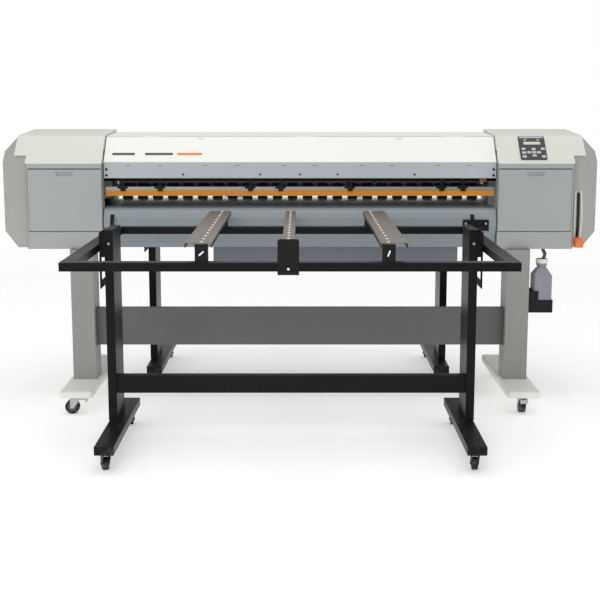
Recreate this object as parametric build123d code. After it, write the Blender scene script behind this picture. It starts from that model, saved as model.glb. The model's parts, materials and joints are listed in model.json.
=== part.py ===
from build123d import *
import os
from math import atan2, cos, degrees, radians, sin, tan

# A wide-format roll and board printer on a wheeled stand, with a wheeled board table in front and another
# behind it. Millimetres. X runs along the print width, -Y is the operator's side, and Z is up from the floor.
# Y in this file is measured from the datum plane of the stand's columns. AXIS_Y moves it to the middle of the
# whole footprint when the solids are written.

# ---------------------------------------------------------------- driving sizes
BOX_IN = 903.0               # half the opening between the end boxes
BOX_WIDTH = 347.0            # inner wall to front corner of an end box
BOX_STRIP = 55.0             # recessed strip beyond the front corner
BULGE = 95.0                 # how far a side cover stands out beyond the strip
BASE_Z = 716.0               # underside of the machine above the floor
WALL = 3.0                   # sheet and moulding thickness
GAP = 1.5                    # gap round doors and covers
RUN = 0.05                   # running clearance on a radius

# ---------------------------------------------------------------- end boxes
BOX_OUT = BOX_IN + BOX_WIDTH
BOX_END = BOX_OUT + BOX_STRIP
HALF_WIDTH = BOX_END + BULGE
FRONT_Y, REAR_Y = -30.0, 505.0
FACE_TOP_Z = BASE_Z + 389.0            # top of the upright front face
SHOULDER_Y, SHOULDER_Z = FRONT_Y + 130.0, FACE_TOP_Z + 123.0
CREST_Y, TOP_Z = REAR_Y - 45.0, SHOULDER_Z + 22.0
REAR_EDGE_DROP = 35.0
SIDE_Y = FRONT_Y + 60.0                # recessed strip at the outer end of a box
STRIP_TOP_Z = FACE_TOP_Z + 35.0
CORNER_R = 12.0                        # rounded upright corner of a front frame

DOOR_LOW, DOOR_HIGH = BASE_Z + 80.0, FACE_TOP_Z - 26.0
DOOR_OUT = BOX_OUT - 12.0
DOOR_DEPTH, DOOR_WALL = 16.0, 2.5
GRIP_WIDTH, GRIP_DEPTH = 84.0, 9.0
DOOR_PIVOT = 6.5                       # hinge line in from the door's lower front edge
DOOR_HINGE_Y, DOOR_HINGE_Z = FRONT_Y + DOOR_PIVOT, DOOR_LOW + DOOR_PIVOT
DOOR_PIN, DOOR_PIN_INSET, EAR_R = 1.5, 55.0, 3.0
EAR_T, EAR_SLOT = 6.0, 1.0             # fixed hinge ears and the room beside them

BULGE_Y0, BULGE_Y1 = FRONT_Y + 210.0, REAR_Y - 105.0     # flat outer face of a side cover
BULGE_Z0, BULGE_Z1 = BASE_Z + 60.0, FACE_TOP_Z + 45.0
BULGE_CUT, SIDE_CUT = 50.0, 76.0

# ---------------------------------------------------------------- media path
PLATEN_HALF = BOX_IN - 13.0
PLATEN_Z, PLATEN_T = BASE_Z + 189.0, 8.0
BASE_TOP = BASE_Z + 74.0
BASE_Y0, BASE_Y1, BASE_HALF = 46.0, 320.0, BOX_OUT - 10.0
PLATEN_Y0, PLATEN_Y1 = BASE_Y0 + 35.0, BASE_Y1 - 2.0
FEED_R, FEED_Y, FEED_PROUD = 15.0, 215.0, 0.5
FEED_Z = PLATEN_Z + FEED_PROUD - FEED_R
JOURNAL_R = 6.0
PINCH_PITCH, PINCH_W = 71.0, 45.0
PINCH_COUNT = int((2 * PLATEN_HALF - 60.0) // PINCH_PITCH)
PINCH_R, PINCH_AXLE = 12.0, 3.0
PINCH_Z = PLATEN_Z + FEED_PROUD + PINCH_R + 0.1
PINCH_ROD_R, PINCH_ROD_Y, PINCH_ROD_Z = 6.0, FEED_Y + 77.0, PLATEN_Z + 80.0
PINCH_LIFT = 9.0                       # degrees between pressing and released
APRON_HALF, APRON_T = BOX_IN - 4.0, 2.0
RIB_AT = (-600.0, -200.0, 200.0, 600.0)
GUIDE_END_Y, GUIDE_DROP = BASE_Y1 + 320.0, 14.0

# ---------------------------------------------------------------- lid, shield and rear cover
LID_HALF = BOX_IN - 5.0
LID_Y, LID_LOW, LID_BEND = 12.0, PLATEN_Z + 132.0, PLATEN_Z + 205.0
LID_TOP_Y, LID_TOP_Z = LID_Y + 111.0, LID_BEND + 111.0
LID_WALL, LID_LIP = 2.5, 14.0
HINGE_Y, HINGE_Z, HINGE_R, HINGE_PIN = LID_TOP_Y + 5.0, LID_TOP_Z - 5.0, 4.5, 2.0
HINGE_AT = (198.0 - LID_HALF, 0.0, LID_HALF - 198.0)
KNUCKLE, KNUCKLE_GAP = 30.0, 0.3
REAR_COVER_Y0, REAR_COVER_Y1 = LID_TOP_Y + 13.0, REAR_Y - 35.0
REAR_COVER_LOW = PLATEN_Z + 20.0

AMBER_Y, AMBER_LOW, AMBER_HIGH, AMBER_T = LID_Y + 16.0, PLATEN_Z + 50.0, PLATEN_Z + 76.0, 4.0
STRIP_LOW, STRIP_HIGH, STRIP_T = AMBER_HIGH + 2.0, AMBER_HIGH + 14.0, 2.0
SHIELD_HALF = LID_HALF - 4.0
CLAMP_SHARES = (-0.906, -0.716, -0.253, -0.098, 0.257, 0.726, 0.834)
CLAMP_W, CLAMP_T, CLAMP_POST = 24.0, 6.0, 14.0

# ---------------------------------------------------------------- carriage, rail and frames
FRAME_T = 6.0                          # side frame plates
FRAME_IN, FRAME_OUT = BOX_IN - 10.0, BOX_OUT - 16.0
RAIL_HALF, RAIL_SIZE, RAIL_WALL = FRAME_OUT - 2.0, 90.0, 5.0
RAIL_Y0, RAIL_Z0 = FEED_Y + 25.0, PLATEN_Z + 105.0
RAIL_Y1, RAIL_Z1 = RAIL_Y0 + RAIL_SIZE, RAIL_Z0 + RAIL_SIZE
WAY_Z0, WAY_Z1, WAY_D = RAIL_Z0 + 35.0, RAIL_Z0 + 50.0, 8.0
CARRIAGE_X0, CARRIAGE_X1 = BOX_IN + 37.0, BOX_OUT - 25.0
CARRIAGE_Y0, CARRIAGE_Y1 = LID_Y + 50.0, RAIL_Y0 - 68.0
CARRIAGE_Z0, CARRIAGE_Z1 = PLATEN_Z + 20.0, PLATEN_Z + 243.0
CARRIAGE_WALL, CARRIAGE_CUT = 4.0, 30.0
HEAD_GAP, HEAD_PITCH, HEAD_W = 4.0, 48.0, 36.0     # gap of the heads above the platen
HEAD_Y0, HEAD_Y1 = CARRIAGE_Y0 + 26.0, CARRIAGE_Y1 - 22.0
LAMP_W, LAMP_INSET = 44.0, 28.0
BELT_Z0, BELT_H, BELT_T, BELT_PLAY = RAIL_Z1 + 4.0, 10.0, 2.0, 0.5
PULLEY_R, PULLEY_X, PULLEY_Y = 18.0, RAIL_HALF - 32.0, (RAIL_Y0 + RAIL_Y1) / 2
MOTOR_R, MOTOR_H = 28.0, 58.0
FEED_MOTOR_R, FEED_MOTOR_L, FEED_MOTOR_FLANGE = 38.0, 102.0, 40.0

# ---------------------------------------------------------------- lever and panel
LEVER_X, LEVER_Y, LEVER_Z = BOX_END - 23.0, SIDE_Y + 170.0, BASE_TOP + 73.0
LEVER_SWING = 60.0                     # degrees, half below and half above level
LEVER_T, LEVER_SLOT = 8.0, 15.0
GRIP_R0 = LEVER_Y - SIDE_Y + 49.0
GRIP_R1, GRIP_T, GRIP_W = GRIP_R0 + 45.0, 28.0, 38.0
PIVOT_R, BOSS_R = 7.0, 16.0
PANEL_X, PANEL_W, PANEL_L, PANEL_T = BOX_IN + 162.0, 120.0, 146.0, 5.0
PANEL_SHARE = 0.54                     # the panel's middle, as a share of the way up the slope

# ---------------------------------------------------------------- stand
STAND_X = BOX_IN + 97.0
FOOT_W, FOOT_T, FOOT_Y0, FOOT_Y1 = 146.0, 29.0, -300.0, 507.0
FOOT_WALL, CASTER_INSET = 4.0, 45.0
COLUMN_W, COLUMN_Y0, COLUMN_Y1, COLUMN_WALL = 105.0, -52.0, 94.0, 3.0
BEAM_Y0, BEAM_Y1, BEAM_Z0, BEAM_Z1, BEAM_WALL = 6.0, 40.0, 261.0, 437.0, 2.5
BEAM_PLATE_T, BEAM_PLATE_OVER = 4.0, 22.0
CASTER_X = STAND_X
CASTER_YS = (FOOT_Y0 + CASTER_INSET, FOOT_Y1 - CASTER_INSET)

# ---------------------------------------------------------------- bottle, hose and electronics
BOTTLE_W, BOTTLE_D, BOTTLE_WALL = 85.0, 96.0, 2.5
BOTTLE_X, BOTTLE_Y = STAND_X + COLUMN_W / 2 + BOTTLE_W / 2 + 24.5, 12.0
BOTTLE_Z0, BOTTLE_Z1 = BASE_Z - 286.0, BASE_Z - 125.0
SHOULDER_H, BOTTLE_NECK_Z = 34.0, BOTTLE_Z1 + 59.0
NECK_R, CAP_R, CAP_TOP_Z, MOUTH_R = 21.0, 25.0, BOTTLE_NECK_Z + 16.0, 17.0
HOLDER_T = 3.0
HOLDER_Z0, HOLDER_FRONT_Z, HOLDER_SIDE_Z = BOTTLE_Z0 - 9.0, BOTTLE_Z0 + 50.0, BOTTLE_Z0 + 92.0
HOSE_R, HOSE_WALL, HOSE_BEND = 8.0, 2.0, 14.0
HOSE_TOP_X, HOSE_TOP_Y = BOTTLE_X + 4.5, BOTTLE_Y + 14.0
HOSE_ROUTE = [(HOSE_TOP_X, HOSE_TOP_Y, BASE_Z + 6), (HOSE_TOP_X, HOSE_TOP_Y, BASE_Z - 10),
              (HOSE_TOP_X + 15, HOSE_TOP_Y - 8, BASE_Z - 30), (BOTTLE_X + 4, BOTTLE_Y, CAP_TOP_Z - 4)]
ELEC_X0, ELEC_X1, ELEC_Y0, ELEC_Y1 = -404.0, 735.0, BASE_Y0 + 14.0, BASE_Y1 + 10.0
ELEC_Z0, ELEC_WALL = BASE_Z - 86.0, 2.0
INLET_W, INLET_H, INLET_D, INLET_WALL = 50.0, 28.0, 6.0, 6.0

# ---------------------------------------------------------------- casters
WHEEL_R, WHEEL_W, WHEEL_TRAIL = 32.0, 30.0, 22.0
TWHEEL_R, TWHEEL_W, TWHEEL_TRAIL = 25.0, 22.0, 18.0
FOOT_Z, TFOOT_Z = 2 * WHEEL_R + 15.0, 2 * TWHEEL_R + 25.0
AXLE_R, KING_R, FORK_T, FORK_PLAY = 4.0, 5.0, 3.0, 1.5
FLANGE_T, FLANGE_R = 4.0, 19.0
CROWN_H, CROWN_GAP, CROWN_R = 8.0, 0.4, 17.0
HEADING = {"left": 180.0, "right": 90.0, "table_left": 115.0, "table_right": 90.0, "rear": 90.0}

# ---------------------------------------------------------------- tables
TABLE_X, REAR_TABLE_X = -35.0, -10.0
TABLE_HALF = 811.0
TRAIL_W, TRAIL_H, TRAIL_Z, TRAIL_WALL = 50.0, 31.0, PLATEN_Z - 108.0, 2.0
TRAIL_TOP = TRAIL_Z + TRAIL_H
TABLE_Y1 = -92.0
TABLE_Y0 = TABLE_Y1 - 1244.0
REAR_TABLE_Y0 = BASE_Y1 + 13.0
REAR_TABLE_Y1 = REAR_TABLE_Y0 + 967.0
LEG_X = TABLE_HALF - 89.5              # leg centre from the table's centre
LEG_W, LEG_D, LEG_TOP, LEG_WALL = 35.0, 200.0, PLATEN_Z - 23.0, 2.5
TFOOT_X, TFOOT_W, TFOOT_T, TFOOT_L = TABLE_HALF - 111.0, 75.0, 35.0, 753.0
TFOOT_WALL, TFOOT_PAD, TCASTER_INSET = 3.0, 90.0, 52.0
TABLE_LEG_Y0 = -785.0
TABLE_FOOT_Y0 = TABLE_LEG_Y0 - 375.0
REAR_LEG_Y0 = REAR_TABLE_Y0 + 57.0
REAR_FOOT_Y0 = REAR_LEG_Y0 - 173.0
TBEAM_D, TBEAM_Z0, TBEAM_Z1 = 40.0, 222.0, 294.0
BRACKET_T, BRACKET_LOW, BRACKET_TOP, BRACKET_INSET = 4.0, TRAIL_Z - 149.0, TRAIL_Z + 77.0, 8.0
HOOK_W, HOOK_T = 18.0, 4.0
SUPPORT_Z, SUPPORT_T, SUPPORT_W, SUPPORT_FLANGE = PLATEN_Z - 9.0, 3.0, 95.0, 18.0
SUPPORT_Y0, SUPPORT_Y1 = TABLE_Y0 + 4.0, TABLE_Y1 - 28.0
BALL_R, BALL_PITCH, BALL_PROUD, BALL_SEAT, BALL_INSET = 7.0, 96.0, 3.0, 0.3, 17.0
LEFT_SUPPORT_X, LEFT_BALL_X = -356.5, -346.0
RIGHT_SUPPORT_X, RIGHT_BALL_X = 330.0, 312.0
MID_SUPPORT_X, MID_SUPPORT_W = -41.0, 45.0
REAR_SUPPORT_XS, REAR_BAR_D = (-340.0, 320.0), 40.0
REAR_SUPPORT_Y0, REAR_SUPPORT_Y1 = GUIDE_END_Y + 40.0, REAR_TABLE_Y1 - 4.0
POST_W, POST_D, POST_WALL = 46.0, 30.0, 3.0
POST_YS = (SUPPORT_Y0 + 2.0, SUPPORT_Y1 - POST_D - 4.0)
MID_PLATE_W, MID_PLATE_T, BOLT_H, BOLT_R = 76.0, 5.0, 4.0, 6.0
MID_PLATE_Z0, MID_PLATE_Z1 = TRAIL_Z - 12.0, SUPPORT_Z + 16.0

FRONT_LIMIT = TABLE_Y0 - MID_PLATE_T - BOLT_H
REAR_LIMIT = REAR_TABLE_Y1
AXIS_Y = (FRONT_LIMIT + REAR_LIMIT) / 2


# ---------------------------------------------------------------- shape helpers
def block(x0, x1, y0, y1, z0, z1):
    """A box between two corners."""
    return Pos((x0 + x1) / 2, (y0 + y1) / 2, (z0 + z1) / 2) * Box(x1 - x0, y1 - y0, z1 - z0)


def rod_x(x0, x1, y, z, r):
    """A cylinder along X."""
    return Pos((x0 + x1) / 2, y, z) * Rot(0, 90, 0) * Cylinder(r, x1 - x0)


def rod_y(x, y0, y1, z, r):
    """A cylinder along Y."""
    return Pos(x, (y0 + y1) / 2, z) * Rot(90, 0, 0) * Cylinder(r, y1 - y0)


def rod_z(x, y, z0, z1, r):
    """A cylinder along Z."""
    return Pos(x, y, (z0 + z1) / 2) * Cylinder(r, z1 - z0)


def slab_x(points, x0, x1):
    """Extrude a closed (y, z) outline from x0 to x1."""
    face = make_face(Polyline(*points, close=True))
    return Pos(x0, 0, 0) * extrude(Plane.YZ * face, amount=x1 - x0)


def slab_y(points, y0, y1):
    """Extrude a closed (x, z) outline from y0 to y1."""
    face = make_face(Polyline(*points, close=True))
    return Pos(0, y1, 0) * extrude(Plane.XZ * face, amount=y1 - y0)


def strip(points, thick):
    """Close an open line into a bent sheet, with the thickness on the line's left."""
    ahead = [atan2(b[1] - a[1], b[0] - a[0]) for a, b in zip(points, points[1:])]
    inner = []
    for i, (u, v) in enumerate(points):
        before, after = ahead[max(i - 1, 0)], ahead[min(i, len(ahead) - 1)]
        middle, half = (before + after) / 2, (after - before) / 2
        reach = thick / cos(half)
        inner.append((u - reach * sin(middle), v + reach * cos(middle)))
    return list(points) + inner[::-1]


def faceted(near, far):
    """A solid between two outlines with parallel edges, so that every face is flat."""
    faces = [make_face(Polyline(*near, close=True)), make_face(Polyline(*far, close=True))]
    for i in range(len(near)):
        j = (i + 1) % len(near)
        faces.append(make_face(Polyline(near[i], near[j], far[j], far[i], close=True)))
    return Solid(Shell([face.faces()[0] for face in faces]))


def tube_x(x0, x1, y0, y1, z0, z1, wall):
    """A rectangular tube along X, open at both ends."""
    return block(x0, x1, y0, y1, z0, z1) - block(x0 - 1, x1 + 1, y0 + wall, y1 - wall, z0 + wall, z1 - wall)


def tube_y(x0, x1, y0, y1, z0, z1, wall):
    """A rectangular tube along Y, open at both ends."""
    return block(x0, x1, y0, y1, z0, z1) - block(x0 + wall, x1 - wall, y0 - 1, y1 + 1, z0 + wall, z1 - wall)


def tube_z(x0, x1, y0, y1, z0, z1, wall):
    """A rectangular tube along Z, open at both ends."""
    return block(x0, x1, y0, y1, z0, z1) - block(x0 + wall, x1 - wall, y0 + wall, y1 - wall, z0 - 1, z1 + 1)


def group(*shapes):
    """Keep pieces that share a node as separate solids."""
    return Compound([solid for shape in shapes for solid in shape.solids()])


def mirrored(shape):
    """The same piece at the other end of the machine."""
    return mirror(shape, about=Plane.YZ)


def turned(shape, y, z, angle):
    """Turn a shape about the line along X through (y, z)."""
    return Pos(0, y, z) * Rot(angle, 0, 0) * Pos(0, -y, -z) * shape


# ---------------------------------------------------------------- stand
def stand_leg():
    """One T foot, hollow below, and its column."""
    x0, x1 = STAND_X - FOOT_W / 2, STAND_X + FOOT_W / 2
    top, pad = FOOT_Z + FOOT_T, 2 * CASTER_INSET
    foot = block(x0, x1, FOOT_Y0, FOOT_Y1, FOOT_Z, top)
    foot = fillet(foot.edges().filter_by(Axis.Z), 18)
    foot = chamfer(foot.faces().sort_by(Axis.Z)[-1].edges(), 6)
    for y0, y1 in ((FOOT_Y0 + pad, COLUMN_Y0 - FOOT_WALL), (COLUMN_Y1 + FOOT_WALL, FOOT_Y1 - pad)):
        foot -= block(x0 + FOOT_WALL, x1 - FOOT_WALL, y0, y1, FOOT_Z - 1, top - FOOT_WALL)
    x0, x1 = STAND_X - COLUMN_W / 2, STAND_X + COLUMN_W / 2
    column = tube_z(x0, x1, COLUMN_Y0, COLUMN_Y1, top, BASE_Z, COLUMN_WALL)
    return foot, column


def stand_legs():
    foot, column = stand_leg()
    pins = [king_pin(side * CASTER_X, y, FOOT_Z) for side in (-1, 1) for y in CASTER_YS]
    return group(foot, column, mirrored(foot), mirrored(column), *pins)


def stand_beam():
    """Cross beam between the columns, with a bolted end plate at each column."""
    end = STAND_X - COLUMN_W / 2
    inner = end - BEAM_PLATE_T
    beam = tube_x(-inner, inner, BEAM_Y0, BEAM_Y1, BEAM_Z0, BEAM_Z1, BEAM_WALL)
    plate = block(inner, end, BEAM_Y0 - BEAM_PLATE_OVER, BEAM_Y1 + BEAM_PLATE_OVER, BEAM_Z0, BEAM_Z1)
    return group(beam, plate, mirrored(plate))


# ---------------------------------------------------------------- casters
def crown_top(z_top):
    """Top of the fork's crown under a mounting flange."""
    return z_top - FLANGE_T - CROWN_GAP


def king_pin(x, y, z_top):
    """Round flange under the foot, and the pin that the fork turns on."""
    low = z_top - FLANGE_T
    return rod_z(x, y, low, z_top, FLANGE_R) + rod_z(x, y, crown_top(z_top) - CROWN_H, low, KING_R)


def fork(x, y, z_top, r, width, trail, heading, pedal=False):
    """Swivel fork with its axle. The wheel trails the king pin towards the heading."""
    top = crown_top(z_top)
    low = top - CROWN_H
    half = width / 2 + FORK_PLAY
    outer = half + FORK_T
    reach = trail + 2 * AXLE_R
    crown = rod_z(0, 0, low, top, CROWN_R)
    crown += block(3 - CROWN_R, reach, -outer, outer, low, low + CROWN_H / 2)
    crown -= rod_z(0, 0, low - 1, top + 1, KING_R + RUN)
    outline = [(4 - CROWN_R, low), (reach, low), (reach, r - 1.5 * AXLE_R), (trail - 7, r - 1.5 * AXLE_R)]
    cheek = slab_y(outline, half, outer)
    body = crown + cheek + mirror(cheek, about=Plane.XZ)
    body += rod_y(trail, -outer - 2, outer + 2, r, AXLE_R)
    if pedal:
        arm = block(-42, -12, -half, half, low - 2, low + CROWN_H / 2)
        body += arm + block(-46, -38, -half, half, low - 12, low + CROWN_H / 2)
    return Pos(x, y, 0) * Rot(0, 0, heading) * body


def wheel(x, y, r, width, trail, heading):
    """Wheel with a bore for the axle, rounded at its tread."""
    body = rod_y(trail, -width / 2, width / 2, r, r)
    body = fillet(body.edges(), width / 8)
    body -= rod_y(trail, -width, width, r, AXLE_R + RUN)
    return Pos(x, y, 0) * Rot(0, 0, heading) * body


def hub(x, y, trail, heading):
    """Where a wheel's centre stands on the floor plan."""
    return x + trail * cos(radians(heading)), y + trail * sin(radians(heading))


def side_name(side, table=""):
    return table + ("left" if side < 0 else "right")


def machine_fork(side):
    heading = HEADING[side_name(side)]
    return fork(side * CASTER_X, CASTER_YS[0], FOOT_Z, WHEEL_R, WHEEL_W, WHEEL_TRAIL, heading, pedal=True)


def machine_wheel(side):
    return wheel(side * CASTER_X, CASTER_YS[0], WHEEL_R, WHEEL_W, WHEEL_TRAIL, HEADING[side_name(side)])


def rear_forks():
    return group(*[fork(side * CASTER_X, CASTER_YS[1], FOOT_Z, WHEEL_R, WHEEL_W, WHEEL_TRAIL, HEADING["rear"])
                   for side in (-1, 1)])


def rear_wheels():
    return group(*[wheel(side * CASTER_X, CASTER_YS[1], WHEEL_R, WHEEL_W, WHEEL_TRAIL, HEADING["rear"])
                   for side in (-1, 1)])


# ---------------------------------------------------------------- frame inside the machine
def base_frame():
    """Long tube that carries the machine on the columns."""
    return group(tube_x(-BASE_HALF, BASE_HALF, BASE_Y0, BASE_Y1, BASE_Z, BASE_TOP, WALL))


def side_frames():
    """Two inner and two outer plates that hold the rail, the feed roller and the pinch rod."""
    under = PLATEN_Z - PLATEN_T
    outline = [(BASE_Y0 + 4, BASE_TOP), (BASE_Y1, BASE_TOP), (BASE_Y1, RAIL_Z0), (RAIL_Y0 + 5, RAIL_Z0),
               (RAIL_Y0 + 5, under), (BASE_Y0 + 4, under)]
    inner = slab_x(outline, FRAME_IN, FRAME_IN + FRAME_T)
    inner -= rod_x(FRAME_IN - 1, FRAME_IN + FRAME_T + 1, FEED_Y, FEED_Z, JOURNAL_R + 2)
    outer = slab_x(outline, FRAME_OUT, FRAME_OUT + FRAME_T)
    outer -= rod_x(FRAME_OUT - 1, FRAME_OUT + FRAME_T + 1, LEVER_Y, LEVER_Z, PIVOT_R + RUN)
    rod = rod_x(-FRAME_IN, FRAME_IN, PINCH_ROD_Y, PINCH_ROD_Z, PINCH_ROD_R)
    return group(inner, outer, mirrored(inner), mirrored(outer), rod)


APRON_LINE = [(PLATEN_Y0 - 0.3, PLATEN_Z), (LID_Y, PLATEN_Z - 5), (0.0, PLATEN_Z - 12),
              (-10.0, PLATEN_Z - 26), (-18.0, PLATEN_Z - 48), (-20.0, PLATEN_Z - 84),
              (10.0, BASE_Z + 29), (BASE_Y0 - 4, BASE_Z)]


def front_apron():
    """Curved media guide below the lid, down to the base, with ribs behind it."""
    apron = slab_x(strip(APRON_LINE, APRON_T), -APRON_HALF, APRON_HALF)
    outline = [(y + 2 * APRON_T, z) for y, z in APRON_LINE[4:-1]]
    outline += [(BASE_Y0, BASE_Z), (BASE_Y0, APRON_LINE[4][1])]
    rib = slab_x(outline, -WALL / 2, WALL / 2)
    return group(apron, *[Pos(x, 0, 0) * rib for x in RIB_AT])


def platen():
    """Flat bed with a slot for the feed roller, standing on cross ribs."""
    low = PLATEN_Z - PLATEN_T
    slot, room, rib_t = PLATEN_HALF - 30, FEED_R + 2, 8
    plate = block(-PLATEN_HALF, PLATEN_HALF, PLATEN_Y0, PLATEN_Y1, low, PLATEN_Z)
    plate -= block(-slot, slot, FEED_Y - room, FEED_Y + room, low - 1, PLATEN_Z + 1)
    for x in (10 - PLATEN_HALF, -PLATEN_HALF / 2, 0, PLATEN_HALF / 2, PLATEN_HALF - 10):
        x0, x1 = x - rib_t / 2, x + rib_t / 2
        rib = block(x0, x1, PLATEN_Y0 + 4, PLATEN_Y1 - 4, BASE_TOP, low)
        inside = abs(x) < slot
        rib -= rod_x(x0 - 1, x1 + 1, FEED_Y, FEED_Z, room if inside else JOURNAL_R + RUN)
        if inside:
            rib -= block(x0 - 1, x1 + 1, FEED_Y - room, FEED_Y + room, FEED_Z, PLATEN_Z)
        plate += rib
    return group(plate)


def feed_roller():
    """Long grit roller with a journal at each end; the left one reaches into the feed motor."""
    barrel = PLATEN_HALF - 33
    body = rod_x(-barrel, barrel, FEED_Y, FEED_Z, FEED_R)
    body += rod_x(-FRAME_IN - FRAME_T - 12, FRAME_IN + FRAME_T / 2, FEED_Y, FEED_Z, JOURNAL_R)
    return group(body)


def rear_guide():
    """Bent sheet that leads media in from the back and closes the machine's middle."""
    line = [(BASE_Y1, BASE_TOP - 40), (BASE_Y1, PLATEN_Z - 4), (BASE_Y1 + 4, PLATEN_Z),
            (GUIDE_END_Y - 40, PLATEN_Z), (GUIDE_END_Y, PLATEN_Z - GUIDE_DROP)]
    sheet = slab_x(strip(line, -WALL), -APRON_HALF, APRON_HALF)
    return group(sheet)


def carriage_rail():
    """Box beam with a hardened way along its front."""
    beam = tube_x(-RAIL_HALF, RAIL_HALF, RAIL_Y0, RAIL_Y1, RAIL_Z0, RAIL_Z1, RAIL_WALL)
    way = block(-RAIL_HALF, RAIL_HALF, RAIL_Y0 - WAY_D, RAIL_Y0, WAY_Z0, WAY_Z1)
    return group(beam, way)


# ---------------------------------------------------------------- carriage
def carriage():
    """Print carriage, parked inside the right end box, with its slide block and belt clamp."""
    x0, x1, y0, y1, z0, z1 = CARRIAGE_X0, CARRIAGE_X1, CARRIAGE_Y0, CARRIAGE_Y1, CARRIAGE_Z0, CARRIAGE_Z1
    wall, cut = CARRIAGE_WALL, CARRIAGE_CUT
    shell = slab_x([(y0, z0), (y1, z0), (y1, z1), (y0 + cut, z1), (y0, z1 - cut)], x0, x1)
    inner = [(y0 + wall, z0 - 1), (y1 - wall, z0 - 1), (y1 - wall, z1 - wall),
             (y0 + cut + wall / 2, z1 - wall), (y0 + wall, z1 - cut - wall / 2)]
    shell -= slab_x(inner, x0 + wall, x1 - wall)
    floor = block(x0 + wall, x1 - wall, y0 + wall, y1 - wall, z0, z0 + 1.5 * wall)
    slide_low, slide_high = WAY_Z0 - 14, WAY_Z1 + 14
    slide = block(x0 + 40, x1 - 40, y1, RAIL_Y0 - 1, slide_low, slide_high)
    slide -= block(x0, x1, RAIL_Y0 - WAY_D - RUN, RAIL_Y0, WAY_Z0 - RUN, WAY_Z1 + RUN)
    middle, half = (x0 + x1) / 2, 40
    left, right, top = middle - half, middle + half, BELT_Z0 + BELT_H + 8
    arm = block(left, right, RAIL_Y0 - 18, RAIL_Y0 - 2, slide_high, top)
    run0, run1 = PULLEY_Y - PULLEY_R - BELT_T, PULLEY_Y - PULLEY_R
    jaw = block(left, right, RAIL_Y0 - 2, run1 + 8, RAIL_Z1 + 1, top)
    jaw -= block(left - 1, right + 1, run0 - BELT_PLAY, run1 + BELT_PLAY, RAIL_Z1, BELT_Z0 + BELT_H + 1)
    return group(shell + floor + slide + arm + jaw)


def head_xs():
    """Middles of the print heads in the carriage."""
    middle = (CARRIAGE_X0 + CARRIAGE_X1) / 2
    return [middle - HEAD_PITCH, middle, middle + HEAD_PITCH]


def print_heads():
    low, half = PLATEN_Z + HEAD_GAP, HEAD_W / 2
    return group(*[block(x - half, x + half, HEAD_Y0, HEAD_Y1, low, CARRIAGE_Z0) for x in head_xs()])


def curing_lamps():
    """A lamp at each side of the heads, a little higher above the bed."""
    low, half = PLATEN_Z + 2 * HEAD_GAP, LAMP_W / 2
    middles = (CARRIAGE_X0 + LAMP_INSET, CARRIAGE_X1 - LAMP_INSET)
    return group(*[block(x - half, x + half, HEAD_Y0 - 8, HEAD_Y1 + 8, low, CARRIAGE_Z0) for x in middles])


def drive_belt():
    """Flat loop round the two pulleys above the rail."""
    def stadium(r, z0, z1):
        ends = [rod_z(side * PULLEY_X, PULLEY_Y, z0, z1, r) for side in (-1, 1)]
        return ends[0] + ends[1] + block(-PULLEY_X, PULLEY_X, PULLEY_Y - r, PULLEY_Y + r, z0, z1)
    high = BELT_Z0 + BELT_H
    return group(stadium(PULLEY_R + BELT_T, BELT_Z0, high) - stadium(PULLEY_R, BELT_Z0 - 1, high + 1))


def drive_motors():
    """Carriage motor and idler with their pulleys, and the feed motor on the left inner frame."""
    high = BELT_Z0 + BELT_H + 2
    idler, driven = [rod_z(side * PULLEY_X, PULLEY_Y, RAIL_Z1, high, PULLEY_R) for side in (-1, 1)]
    motor = rod_z(PULLEY_X, PULLEY_Y, high, high + MOTOR_H, MOTOR_R)
    end, half = -FRAME_IN - FRAME_T, FEED_MOTOR_FLANGE
    feed = rod_x(end - 8 - FEED_MOTOR_L, end - 8, FEED_Y, FEED_Z, FEED_MOTOR_R)
    feed += block(end - 8, end, FEED_Y - half, FEED_Y + half, FEED_Z - half, FEED_Z + half)
    feed -= rod_x(end - 14, end + 1, FEED_Y, FEED_Z, JOURNAL_R + 1)
    return group(idler, driven + motor, feed)


def capping_station():
    """Maintenance unit under the parked carriage, with a soft cap for each head."""
    top = PLATEN_Z - 12
    body = block(CARRIAGE_X0 + 10, CARRIAGE_X1 - 10, CARRIAGE_Y0 + 12, CARRIAGE_Y1 - 10, BASE_TOP, top)
    caps = []
    for x in head_xs():
        half, lip = HEAD_W / 2 + 3, 4
        cup = block(x - half, x + half, HEAD_Y0 - 3, HEAD_Y1 + 3, top, PLATEN_Z + 2)
        caps.append(cup - block(x - half + lip, x + half - lip, HEAD_Y0 - 3 + lip, HEAD_Y1 + 3 - lip,
                                top + lip, PLATEN_Z + 3))
    return group(body, *caps)


# ---------------------------------------------------------------- pinch rollers
def pinch_xs():
    start = -(PINCH_COUNT - 1) * PINCH_PITCH / 2
    return [start + i * PINCH_PITCH for i in range(PINCH_COUNT)]


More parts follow.
